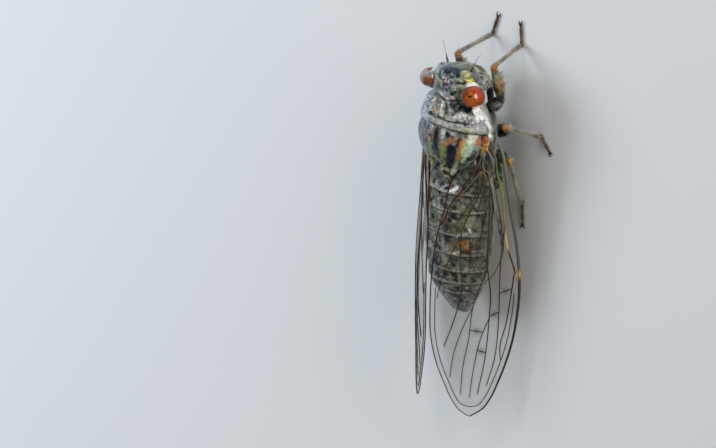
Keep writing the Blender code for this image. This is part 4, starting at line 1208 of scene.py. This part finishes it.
def horn_finish(name, grain_group, grain, depth, sheen):
    """Painted, finely pitted skin with a faint silvery bloom."""
    more = {"Sheen Weight": sheen, "Sheen Roughness": 0.35, "Sheen Tint": (0.85, 0.92, 1.0, 1.0)}
    made, shader, painted = painted_finish(name, (0.15, 0.15, 0.13), 0.5, more)
    tree = made.node_tree
    group = tree.nodes.new("ShaderNodeGroup")
    group.node_tree = grain_group
    group.inputs["Grain"].default_value = grain
    tree.links.new(painted["Color"], group.inputs["Colour"])
    tree.links.new(painted["Alpha"], group.inputs["Gloss"])
    tree.links.new(group.outputs["Colour"], shader.inputs["Base Color"])
    tree.links.new(group.outputs["Roughness"], shader.inputs["Roughness"])
    add_bump(tree, group.outputs["Height"], 0.8, depth)
    return made


def eye_finish():
    """Amber eyes under a clear, wet-looking coat, with the finest of facets."""
    coat_inputs = {"Coat Weight": 0.9, "Coat Roughness": 0.10}
    made, _, _ = painted_finish("eye_amber", (0.55, 0.20, 0.02), 0.22, coat_inputs)
    facets = texture(made.node_tree, "ShaderNodeTexVoronoi", Scale=1 / (0.035 * MM), Randomness=0.25)
    add_bump(made.node_tree, facets["Distance"], 0.25, 0.006)
    return made


def coat_finish():
    """Silky pale hairs in the painted colours."""
    return painted_finish("down", (0.4, 0.4, 0.4), 0.42, {"Sheen Weight": 0.3})[0]


# Painting


def coloured_along(stops, where):
    """Colours on a run of (place, colour) stops."""
    at = [stop[0] for stop in stops]
    return np.stack([np.interp(where, at, [stop[1][k] for stop in stops]) for k in range(3)], -1)


def ink(name, gain=1.0):
    """A colour of the list, made lighter or darker by a gain."""
    return np.array(INKS[name]) * gain


def tint(colours, towards, share):
    """Moves points' colours towards an ink or towards other colours, by a share for each point."""
    aim = ink(towards) if isinstance(towards, str) else np.array(towards)
    colours += (aim - colours) * share[:, None]


def paint(mesh, colours, strength=None):
    """Writes a colour and a strength for each point into the mesh's paint attribute."""
    made = np.ones((len(mesh.vertices), 4), np.float32)
    made[:, :3] = colours
    if strength is not None:
        made[:, 3] = strength
    layer = mesh.color_attributes.new("paint", "FLOAT_COLOR", "POINT")
    layer.data.foreach_set("color", made.ravel())


def mottled(places, inks, size, seed, contrast=1.6):
    """A ground of three inks that run into each other in blotches."""
    low, middle, high = (ink(name) for name in inks)
    value = np.clip((cloud(places, size, seed, 4) - 0.5) * 2 * contrast, -1, 1)[:, None]
    return middle + (high - middle) * np.maximum(value, 0) + (low - middle) * np.maximum(-value, 0)


def stained(colours, gloss, flat, marks, weight, patchy):
    """Lays marks over the colours and gloss of points, more or less patchily. Flat holds the points' places
    in the marks' plane."""
    for name, half_width, soft, strength, shine, line in marks:
        near = blend(-soft, soft, gap_to(flat, line) - half_width - 0.30 * soft * patchy)
        share = np.clip((1 - near) * (strength + 0.25 * patchy), 0, 1) * weight
        tint(colours, ink(name) * (1 + 0.45 * patchy)[:, None], share)
        gloss += (shine - gloss) * share


def skin_regions(places):
    """Each point's share of the head, the collar, the shield, the abdomen and the sides."""
    x, y, z = places.T
    head = blend(*NECK, y)
    collar = (1 - head) * blend(*COLLAR_END, y)
    behind = (1 - head) * (1 - collar)
    half_width, _, rim, _ = smooth(MESONOTUM, y)
    on_shield = blend(-0.05, 0.12, z - rim) * (y > SHIELD_END) * blend(0.25, 0.05, np.abs(x) - half_width)
    shield = behind * on_shield
    abdomen = behind * (1 - shield) * blend(*WAIST, y)
    return head, collar, shield, abdomen, behind * (1 - shield) * (1 - abdomen)


def paint_skin(skin):
    """The markings of head, thorax and abdomen, above and below, with painted light: a silvery sheen on the
    left side, pale marks on the head's right side and shade low on the sides.
    """
    places, facing = points_of(skin), normals_of(skin)
    x, y, z = places.T
    aside = np.abs(x)
    head, collar, shield, abdomen, sides = skin_regions(places)
    above = blend(-0.25, 0.15, facing[:, 2])
    # Wander moves the marks' edges about, and patchy makes them uneven.
    wander = np.stack([cloud(places, 0.45, 51) - 0.5, cloud(places, 0.45, 61) - 0.5], -1) * 0.34
    wander += np.stack([cloud(places, 0.16, 71) - 0.5, cloud(places, 0.16, 81) - 0.5], -1) * 0.30
    patchy = np.clip((cloud(places, 0.24, 85) - 0.5) * 3.2, -1, 1)
    colours = mottled(places, ("coal", "ash", "stone"), 0.45, 91, 2.2)
    gloss = 0.15 + 0.3 * cloud(places, 0.5, 95)

    # The head, with the ridges of its face and the pale ring beneath each eye.
    tint(colours, mottled(places, ("black", "ash", "silver"), 0.28, 101, 2.6), head * 0.9)
    turned = np.stack([np.abs(x - HEAD_MARKS_SHIFT), y], -1) + wander
    stained(colours, gloss, turned, HEAD_MARKS, head * above, patchy)
    # Marks on the right side only, partly painted light.
    stained(colours, gloss, turned, RIGHT_HEAD_LIT_MARKS, head * above * blend(-0.8, -0.2, x), patchy)
    ahead = blend(0.0, 0.5, facing[:, 1]) * blend(-0.3, -0.7, z) * head
    stained(colours, gloss, np.stack([aside, z], -1) + wander, FACE_MARKS, ahead, patchy)
    ridge = 0.5 + 0.5 * np.cos(2 * math.pi * (z + 0.25 * aside) / FACE_RIDGE_PITCH)
    colours *= (1 - 0.5 * ridge * ahead * blend(1.7, 1.2, aside))[:, None]
    ring = blend(1.58, 1.38, from_eyes(places)) * blend(0.6, -0.1, z) * blend(2.2, 2.7, aside)
    tint(colours, "white", 0.9 * ring * head)

    # The collar, the shield and the thorax's sides.
    tint(colours, mottled(places, ("coal", "stone", "silver"), 0.32, 111, 2.2), collar * 0.85)
    shifted = np.stack([np.abs(x + COLLAR_MARKS_SHIFT), y], -1) + 0.55 * wander
    stained(colours, gloss, shifted, PRONOTUM_MARKS, collar * above, patchy)
    flank = np.stack([y, z], -1) + wander
    stained(colours, gloss, flank, FLANK_MARKS, collar * blend(2.8, 3.4, aside), patchy)
    from_above = np.stack([aside, y], -1)
    stained(colours, gloss, from_above + 0.6 * wander, MESONOTUM_MARKS, shield, patchy * 0.35)
    stained(colours, gloss, flank, SIDE_MARKS, sides, patchy)

    # The abdomen, with a pale band and a dark line where each ring starts.
    ground = mottled(places, ("black", "ash", "stone"), 0.40, 121, 2.8) * 1.12
    tint(ground, "straw", 0.20 * blend(0.5, 0.7, cloud(places, 1.1, 131)))
    tint(colours, ground, abdomen)
    broken = 0.45 + 0.55 * blend(0.35, 0.6, cloud(places, 0.8, 141))
    for end in TERGITE_ENDS[:-1]:
        behind_edge = y + wander[:, 0] * 0.25 - end
        tint(colours, ink("putty", 1.25), bell(behind_edge - 0.20, 0.12) * broken * abdomen * 0.85)
        tint(colours, "black", bell(behind_edge, 0.075) * abdomen * 0.95)
    right_half = blend(-2.5, 0.5, x)
    stained(colours, gloss, from_above + wander, ABDOMEN_MARKS, abdomen * above * right_half, patchy)

    # A painted sheen: the silvery reflection of a cool light, painted over the left side only and duller
    # behind the collar.
    streaks = np.stack([x * 2.2, y * 0.5, z * 1.6], -1)
    painted_sheen = mottled(streaks, ("slate", "silver", "sky"), 0.30, 145, 2.8)
    painted_sheen *= 1 - 0.55 * ((1 - head) * (1 - collar))[:, None]
    edge = np.array(PAINTED_SHEEN_EDGE[::-1])
    left = np.interp(y, edge[:, 0], edge[:, 1])
    painted_sheen_share = blend(0.0, 0.7, left - x + wander[:, 0]) * blend(-0.6, 0.0, z) * blend(-9.6, -8.6, y)
    tint(colours, painted_sheen, (0.86 - 0.45 * head) * painted_sheen_share)

    # The belly, the dark specks and the shade between the hips.
    below = blend(-0.15, -0.5, facing[:, 2]) * blend(-1.6, -2.4, z)
    tint(colours, mottled(places, ("brown", "straw", "cream"), 0.8, 151, 1.3), below * 0.7)
    speckle = blend(0.62, 0.74, cloud(places, 0.16, 161, 2))
    tint(colours, "black", 0.5 * speckle * (1 - shield * 0.7) * (1 - collar * 0.6))
    shadow = blend(-1.7, -2.5, z) * (1 - head) * (1 - abdomen)
    colours *= (1 - 0.72 * shadow)[:, None]
    paint(skin, np.clip(colours, 0, 1), np.clip(gloss, 0, 1))


def paint_leg(mesh, which, side):
    """Grey-green legs with dark stripes, orange knees and dark feet."""
    _, trochanter, knee, ankle, _, toe = leg_places(which, side)
    places = points_of(mesh)
    colours = mottled(places, LEG_INKS[which], 0.5, 171)
    gloss = 0.35 + 0.3 * cloud(places, 0.4, 175)
    thigh, shin = knee - trochanter, ankle - knee
    share = (places - trochanter) @ thigh / (thigh @ thigh)
    across = places - trochanter - share[:, None] * thigh
    turn = np.arctan2(across[:, 2], across[:, 0] * side)
    below = (places - knee) @ shin / (shin @ shin)
    on_shin = blend(0.02, 0.12, below)
    streaks = blend(0.52, 0.66, cloud(np.stack([turn * 1.1, share * 1.4, 0 * turn], -1), 0.8, 181))
    tint(colours, "coal", 0.8 * streaks * (1 - on_shin))
    if which == "fore":
        patch = bell(turn - 0.35, 0.5) * bell(share - 0.55, 0.22) * (1 - on_shin)
        tint(colours, ink("amber", 0.8), 0.75 * patch)
    tint(colours, mottled(places, ("umber", "straw", "rose"), 0.35, 191) * SHIN_TONE, on_shin * 0.85)
    rings = bell(below - 0.30, 0.07) + bell(below - 0.93, 0.09)
    tint(colours, "coal", 0.7 * np.clip(rings, 0, 1))
    hinge = knee + thigh / np.linalg.norm(thigh) * 0.1
    tone = ink("amber") * (FORE_KNEE_TONE if which == "fore" else KNEE_TONE)
    knee_ink = tone * (0.7 + 0.6 * cloud(places, 0.25, 195))[:, None]
    tint(colours, knee_ink, 0.9 * blend(0.62, 0.30, np.linalg.norm(places - hinge, axis=1)))
    foot = blend(0.35, 0.15, gap_to(places, (ankle - (0, 0, 0.3), toe)))
    tint(colours, mottled(places, ("coal", "umber", "brown"), 0.3, 201), foot * 0.85)
    paint(mesh, np.clip(colours, 0, 1), np.clip(gloss, 0, 1))


def paint_membrane(mesh, veins, clearness, painted_sheen, blade=None):
    """Faint smoke over the wing, denser along the veins and at the cross-veins, under a painted sheen: a
    silvery reflection painted over its outer part. A blade is the line outside which the hindwing has a
    mottled strip."""
    u, q = off_roof(points_of(mesh))
    where = np.stack([u, q, 0 * q], -1)
    haze = cloud(where, 1.3, 41)
    strength = clearness + 0.07 * bell(between_veins(u, q, veins), 0.16)
    strength += 0.05 * (haze - 0.5) + 0.03 * blend(12, 24, u)
    dark = np.zeros(len(u))
    for kind, _, _, line in veins:
        if kind == "cross":
            from_middle = np.linalg.norm(where[:, :2] - np.mean(line, axis=0), axis=1)
            dark = np.maximum(dark, bell(from_middle, 0.42))
    strength += 0.22 * dark
    colours = np.repeat(np.array(CLEAR_TONE)[None], len(u), 0)
    tint(colours, SMOKY_TONE, np.clip(dark * 1.2, 0, 1))
    if blade is not None:
        edge = np.array(blade)
        past = q - np.interp(u, edge[:, 0], edge[:, 1])
        beyond = blend(-0.50, -0.40, past) * blend(6.4, 8.6, u) * blend(12.4, 11.9, u)
        silver = mottled(where, ("coal", "steel", "frost"), 0.30, 45, 2.2)
        silver *= (1 - 0.85 * bell(past + 0.40, 0.07))[:, None]
        tint(colours, silver, beyond)
        strength += (0.92 - strength) * beyond
    # Painted sheen: a silvery reflection painted over the outer part of the wing.
    wing_sheen_share = painted_sheen * blend(5.0, 6.6, q) * (0.75 + 0.5 * haze)
    tint(colours, "frost", wing_sheen_share)
    strength += (0.85 - strength) * wing_sheen_share
    paint(mesh, colours, np.clip(strength, 0.02, 0.95))
    return mesh


def eye_centre(side):
    """The middle of the right (1) or left (-1) eye."""
    return np.array((side * (EYE_SPACING / 2 - EYE_INSET), -side * HEAD_TURN, EYE_LEVEL))


def eye_radii(side):
    """The radii of an eye: the photograph shows the right one, which is nearer, a little larger."""
    return np.array(EYE_RADII) * (1 + 0.05 * side)


def from_eyes(places):
    """How far places lie from the nearer eye's centre."""
    return np.minimum(*(np.linalg.norm(places - eye_centre(side), axis=1) for side in (1, -1)))


def paint_eye(mesh, side):
    """Amber above, redder below, darker towards the head, with a dark spot and a pale rim; the left eye's top
    carries a painted reflection of the sky.
    """
    places = points_of(mesh)
    offset = (places - eye_centre(side)) / eye_radii(side) * (side, 1, 1)
    out, ahead, up = offset.T
    haze = cloud(places, 0.5, 211)
    flecks = cloud(places, 0.16, 215)
    colours = np.repeat(np.array(EYE_INKS["amber"])[None], len(offset), 0)
    tint(colours, EYE_INKS["red"], blend(0.65, -0.15, up + 0.5 * (haze - 0.5) - 0.25 * ahead))
    tint(colours, EYE_INKS["wine"], blend(0.30, -0.20, out - 0.10 * up + 0.3 * (haze - 0.5)) * 0.85)
    colours *= (0.62 + 0.9 * flecks * blend(0.2, 0.8, haze))[:, None]

    spot = np.array(SPOT_TOWARDS) / np.linalg.norm(SPOT_TOWARDS)
    level = np.cross(spot, CAMERA_UP)
    level /= np.linalg.norm(level)
    facing = offset / np.linalg.norm(offset, axis=1)[:, None]
    aside = np.hypot(facing @ level / SPOT_WIDE, facing @ np.cross(level, spot) / SPOT_HIGH)
    tint(colours, EYE_INKS["spot"], blend(1.25, 0.8, aside) * (facing @ spot > 0))
    tint(colours, EYE_INKS["rim"], blend(-0.40, -0.64, out) * (0.8 - 0.5 * bell(ahead - 0.35, 0.3)))
    # On the left eye a painted reflection of the sky: its top dulled to umber, then greyed.
    if side < 0:
        above = blend(0.25, 0.60, up)
        tint(colours, np.array(EYE_INKS["umber"]) * (0.5 + haze)[:, None], 0.85 * above)
        painted_reflection = np.clip(blend(0.80, 1.15, up + 0.5 * out) + blend(0.15, 0.7, ahead), 0, 1)
        tint(colours, EYE_INKS["painted_reflection"], painted_reflection * 0.70 * above)
    paint(mesh, colours)


# Hairs


def blade_copies(name, count):
    """Many copies of one three-sided blade as a mesh, and each point's level, turn and blade."""
    shape = bmesh.new()
    bmesh.ops.create_circle(shape, segments=3, radius=1.0, cap_ends=True)
    rim = shape.edges[:]
    for _ in range(2):
        grown = bmesh.ops.extrude_edge_only(shape, edges=rim)["geom"]
        rim = [item for item in grown if isinstance(item, bmesh.types.BMEdge)]
        corners = [item for item in grown if isinstance(item, bmesh.types.BMVert)]
        bmesh.ops.translate(shape, verts=corners, vec=(0, 0, 1))
    bmesh.ops.pointmerge(shape, verts=corners, merge_co=(0, 0, 2))
    bmesh.ops.recalc_face_normals(shape, faces=shape.faces[:])
    mesh = kept(shape, name)
    one = read(mesh.vertices, "co")
    holder = bpy.data.objects.new(name, mesh)
    bpy.context.scene.collection.objects.link(holder)
    repeat = holder.modifiers.new("repeat", "ARRAY")
    repeat.count = count
    repeat.use_relative_offset = False
    made = evaluated(holder)
    bpy.data.objects.remove(holder)
    level = np.tile(one[:, 2] / 2, count)
    turn = np.tile(np.arctan2(one[:, 1], one[:, 0]) * (one[:, 2] < 1.9), count)
    return made, level, turn, np.repeat(np.arange(count), len(one))


def coat(name, skin, count, seed, thickness, describe):
    """Fine tufts on a painted skin. describe() gives, for places and normals, how thickly they grow, how long
    they are, which way they lie, how far they stand up, and where their roots lie on the unwrapped skin."""
    centre = in_insect(read(skin.polygons, "center"))
    facing = read(skin.polygons, "normal") @ ALONG.T
    thick, length, lie, rise, unwrapped = describe(centre, facing)
    draw = np.random.default_rng(seed)
    chance = read(skin.polygons, "area", 1)[:, 0] * thick
    chosen = draw.choice(len(centre), count, p=chance / chance.sum())
    first_corner = read(skin.polygons, "loop_start", 1, int)[chosen, 0]
    root_point = read(skin.loops, "vertex_index", 1, int)[first_corner, 0]
    shades = read(skin.color_attributes["paint"].data, "color", 4, np.float32)[root_point, :3]
    normal = facing[chosen]
    flow = lie[chosen] + draw.normal(0, 0.28, (count, 3))
    flow -= (flow * normal).sum(-1, keepdims=True) * normal
    flow /= np.maximum(np.linalg.norm(flow, axis=1, keepdims=True), 1e-6)
    across = np.cross(flow, normal)
    long = length[chosen] * draw.uniform(0.6, 1.25, count)
    raised = rise[chosen] * draw.uniform(0.6, 1.4, count)
    jitter = flow * draw.uniform(-0.08, 0.08, (count, 1)) + across * draw.uniform(-0.08, 0.08, (count, 1))
    root = centre[chosen] + jitter - normal * 0.03
    mesh, level, turn, which = blade_copies(name, count)
    width = thickness * draw.uniform(0.7, 1.3, count)
    bend = level**2 * 0.55 * raised[which]
    middle = root[which] + flow[which] * (long[which] * level)[:, None]
    middle += normal[which] * (long[which] * (raised[which] * level - bend))[:, None]
    thin = width[which] * np.where(level > 0.99, 0, 1 - 0.35 * level)
    side = across[which] * (np.cos(turn) * thin)[:, None]
    side += normal[which] * (np.sin(turn) * thin * 0.6)[:, None]
    move_points(mesh, middle + side)
    patch = unwrapped[chosen][which] + 0.003 * np.stack([turn / (2 * math.pi), level - 0.5], -1)
    corner = read(mesh.loops, "vertex_index", 1, int)[:, 0]
    layer = mesh.uv_layers.new(name="OFBake")
    layer.data.foreach_set("uv", patch[corner].astype(np.float32).ravel())
    share = draw.uniform(0.25, 0.75, (count, 1))
    paint(mesh, (shades + (ink("silver", 1.2) - shades) * share)[which])
    return mesh


def body_coat(places, _facing):
    """Short silvery down, thickest on the sides of thorax and abdomen and between the legs."""
    x, y, z = places.T
    head = blend(-1.4, -1.0, y)
    shield = blend(-3.9, -4.3, y) * blend(-9.6, -8.6, y) * blend(0.2, 0.6, z)
    low = blend(0.2, -1.2, z)
    thick = 0.40 + 0.9 * low + 0.5 * blend(1.5, 3.5, np.abs(x)) - 0.35 * shield - 0.15 * head
    thick *= blend(0.05, 0.3, thick) * (from_eyes(places) > 1.28)
    length = 0.20 + 0.26 * low - 0.05 * head + 0.05 * blend(-9.8, -10.5, y)
    lie = np.stack([0.25 * np.sign(x) * blend(0, 2, np.abs(x)), -np.ones(len(x)), -0.35 * low], -1)
    turn = np.arctan2(x, z + 1.8) / (2 * math.pi) + 0.5
    return np.clip(thick, 0.02, 2), length, lie, 0.30 + 0.25 * low, np.stack([turn, (y + 25.2) / 28.2], -1)


def leg_coat(which, side):
    """A describe() for fine pale hairs that lean towards the foot, shorter where they come near the floor."""
    _, trochanter, knee, ankle, *_ = leg_places(which, side)
    thigh, shin = knee - trochanter, ankle - knee

    def describe(places, facing):
        """How the hairs grow at places of the leg."""
        below = (places - knee) @ shin / (shin @ shin)
        down = blend(0.0, 0.1, below)[:, None]
        lie = thigh * (1 - down) + shin * down
        lie /= np.linalg.norm(lie, axis=1)[:, None]
        first = (places - trochanter) @ thigh / (thigh @ thigh)
        along = np.clip(first, 0, 1) * 0.4 + np.clip(below, 0, 1.3) * 0.45
        turn = np.arctan2(facing[:, 2], facing[:, 0]) / (2 * math.pi) + 0.5
        height = in_model(places)[:, 2] / MM
        thick = (0.6 + 0.5 * down[:, 0]) * blend(0.05, 0.4, height)
        length = np.minimum(0.30 + 0.12 * down[:, 0], 0.5 * height)
        return thick, length, lie, np.full(len(places), 0.75), np.stack([turn, along], -1)

    return describe


# Camera, light and placing


def look_from_photo():
    """A camera that sees the insect as the photograph does, through a long lens."""
    right, up = Vector(CAMERA_RIGHT).normalized(), Vector(CAMERA_UP).normalized()
    towards = right.cross(up).normalized()
    up = towards.cross(right)
    wide, high = PICTURE
    eyes_x, eyes_y = EYES_IN_PICTURE
    aim = right * ((wide / 2 - eyes_x) / PIXELS_PER_MM) + up * ((eyes_y - high / 2) / PIXELS_PER_MM)
    away = wide / PIXELS_PER_MM * LENS / SENSOR
    data = bpy.data.cameras.new("camera")
    data.lens = LENS
    data.sensor_width = SENSOR
    data.clip_end = 10
    camera = bpy.data.objects.new("camera", data)
    bpy.context.scene.collection.objects.link(camera)
    turned = [Vector(np.array(axis) @ ALONG) for axis in (right, up, towards)]
    place = Matrix(turned).transposed().to_4x4()
    place.translation = Vector(in_model(np.array(aim + towards * away)))
    camera.matrix_world = place
    bpy.context.scene.camera = camera
    return turned


def softbox(name, direction, distance, size, watts, colour, glossy):
    """A round light that shines on the insect from a direction. Shiny surfaces mirror a glossy one."""
    data = bpy.data.lights.new(name, "AREA")
    data.shape = "DISK"
    data.size = size
    data.energy = watts
    data.color = colour
    made = bpy.data.objects.new(name, data)
    bpy.context.scene.collection.objects.link(made)
    middle = Vector(in_model(np.array(LIT_PLACE)))
    direction = Vector(direction).normalized()
    made.location = middle + direction * distance
    made.visible_glossy = glossy
    made.rotation_mode = "QUATERNION"
    made.rotation_quaternion = direction.to_track_quat("Z", "Y")


def studio(camera_axes):
    """A pale floor and soft light, with the key light on the side that the photograph lights."""
    right, up, towards = camera_axes
    bpy.ops.mesh.primitive_plane_add(size=6.0, location=(0, 0, 0))
    floor = bpy.context.object
    floor.name = "floor"
    floor.data.materials.append(new_finish("floor", (0.62, 0.62, 0.61), 0.85)[0])
    ways = {
        "key": right * 0.66 + up * 0.24 + towards * 0.72,
        "rim": right * -0.92 + up * 0.25 - towards * 0.10,
        "top": up * 0.9 + towards * 0.2 + Vector((0, 0, 0.6)),
    }
    softbox("key", ways["key"], distance=0.30, size=0.30, watts=1.55, colour=(1.0, 0.97, 0.92), glossy=True)
    softbox("rim", ways["rim"], distance=0.32, size=0.20, watts=0.90, colour=(0.80, 0.90, 1.0), glossy=False)
    softbox("top", ways["top"], distance=0.35, size=0.20, watts=0.25, colour=(1, 1, 1), glossy=False)
    world = bpy.data.worlds.new("studio")
    bpy.context.scene.world = world
    world.use_nodes = True
    sky = world.node_tree.nodes["Background"]
    sky.inputs["Color"].default_value = (0.93, 0.96, 1.0, 1.0)
    sky.inputs["Strength"].default_value = 0.45


def placed(name, mesh, nodes, finish):
    """A finished piece that rides on the body and stands for some CAD nodes, which it hides."""
    mesh.materials.append(finish)
    mesh.shade_smooth()
    mesh.set_sharp_from_angle(angle=math.radians(50))
    piece = bpy.data.objects.new(name, mesh)
    bpy.context.scene.collection.objects.link(piece)
    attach(piece, "root")
    if nodes:
        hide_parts(*nodes)


def add_wings():
    """The four wings, each a membrane with its veins."""
    sheet_finish, tube_finish = membrane_finish(), vein_finish()
    all_fore = fore_veins()
    leading, trailing, _ = rim_lines(HIND_COSTA, HIND_HIND)
    all_hind = (*HIND_VEINS, ("branch", 0.06, 0.05, leading), ("branch", 0.05, 0.05, trailing))
    fore = wing_sheet("forewing", FORE_COSTA, FORE_HIND, all_fore, 0.0)
    hind = wing_sheet("hindwing", HIND_COSTA, HIND_HIND, all_hind, HIND_DROP, 90, 36)
    wings = (
        ("forewing", fore, vein_tubes("forewing_veins", all_fore, 0.0), (all_fore, FORE_STRENGTH)),
        ("hindwing", hind, vein_tubes("hindwing_veins", all_hind, HIND_DROP),
         (all_hind, HIND_STRENGTH, HIND_VEINS[0][3])),
    )
    # Only the left wings get the painted sheen.
    for side, turn, painted_sheen in (("left", mirrored, LEFT_PAINTED_SHEEN), ("right", lambda mesh: mesh, 0.0)):
        for node, sheet, tubes, (veins, clearness, *blade) in wings:
            painted = paint_membrane(turn(sheet), veins, clearness, painted_sheen, *blade)
            placed(f"{node}_membrane_{side}", painted, (f"{node}_{side}",), sheet_finish)
            placed(f"{node}_veins_{side}", turn(tubes), (), tube_finish)


# The scene

bpy.context.scene.view_settings.view_transform = "Khronos PBR Neutral"
studio(look_from_photo())

grain_group = fine_grain()
horn = horn_finish("horn", grain_group, grain=0.9, depth=0.040, sheen=0.55)
leg_horn = horn_finish("leg_horn", grain_group, grain=0.7, depth=0.020, sheen=0.15)
amber_eye, down = eye_finish(), coat_finish()
dark_claw, _ = new_finish("dark_claw", (0.05, 0.022, 0.012), 0.28)
wet_ocellus, _ = new_finish("ocellus_ruby", (0.20, 0.075, 0.10), 0.12, {"Coat Weight": 0.8})

skin = body_mesh()
paint_skin(skin)
coxae = [f"{which}_coxa_{side}" for which in LEGS for side in ("left", "right")]
rings = [f"abdomen_{number}" for number in range(1, 9)]
placed("skin", skin, ("head", "pronotum", "mesonotum", "thorax", "rostrum", *rings, *coxae), horn)
body_hairs = coat("down_body", skin, BODY_TUFTS, BODY_SEED, BODY_HAIR, body_coat)
placed("down_body", body_hairs, (), down)
for side, label in ((1, "right"), (-1, "left")):
    eye = moulded("eye", 72, 54, ellipsoid(eye_centre(side), eye_radii(side)))
    paint_eye(eye, side)
    placed(f"eyeball_{label}", eye, (f"eye_{label}",), amber_eye)
    feeler = feeler_mesh(side)
    paint(feeler, mottled(points_of(feeler), ("coal", "umber", "stone"), 0.3, 221), 0.5)
    placed(f"feeler_{label}", feeler, (f"antenna_{label}",), leg_horn)
    for which in LEGS:
        leg, claws = leg_meshes(which, side)
        paint_leg(leg, which, side)
        parts = [f"{which}_{part}_{label}" for part in ("femur", "tibia", "tarsus")]
        placed(f"{which}_leg_{label}", leg, parts, leg_horn)
        hairs = coat(f"{which}_down", leg, LEG_TUFTS, LEG_SEED, LEG_HAIR, leg_coat(which, side))
        placed(f"down_{which}_leg_{label}", hairs, (), down)
        for number, claw in enumerate(claws):
            placed(f"{which}_claw_{label}_{number}", claw, (), dark_claw)
for number, centre in enumerate(OCELLI):
    dome = moulded("ocellus", 32, 24, ellipsoid(centre, OCELLUS_RADII))
    placed(f"ocellus_{number}", dome, (), wet_ocellus)
add_wings()
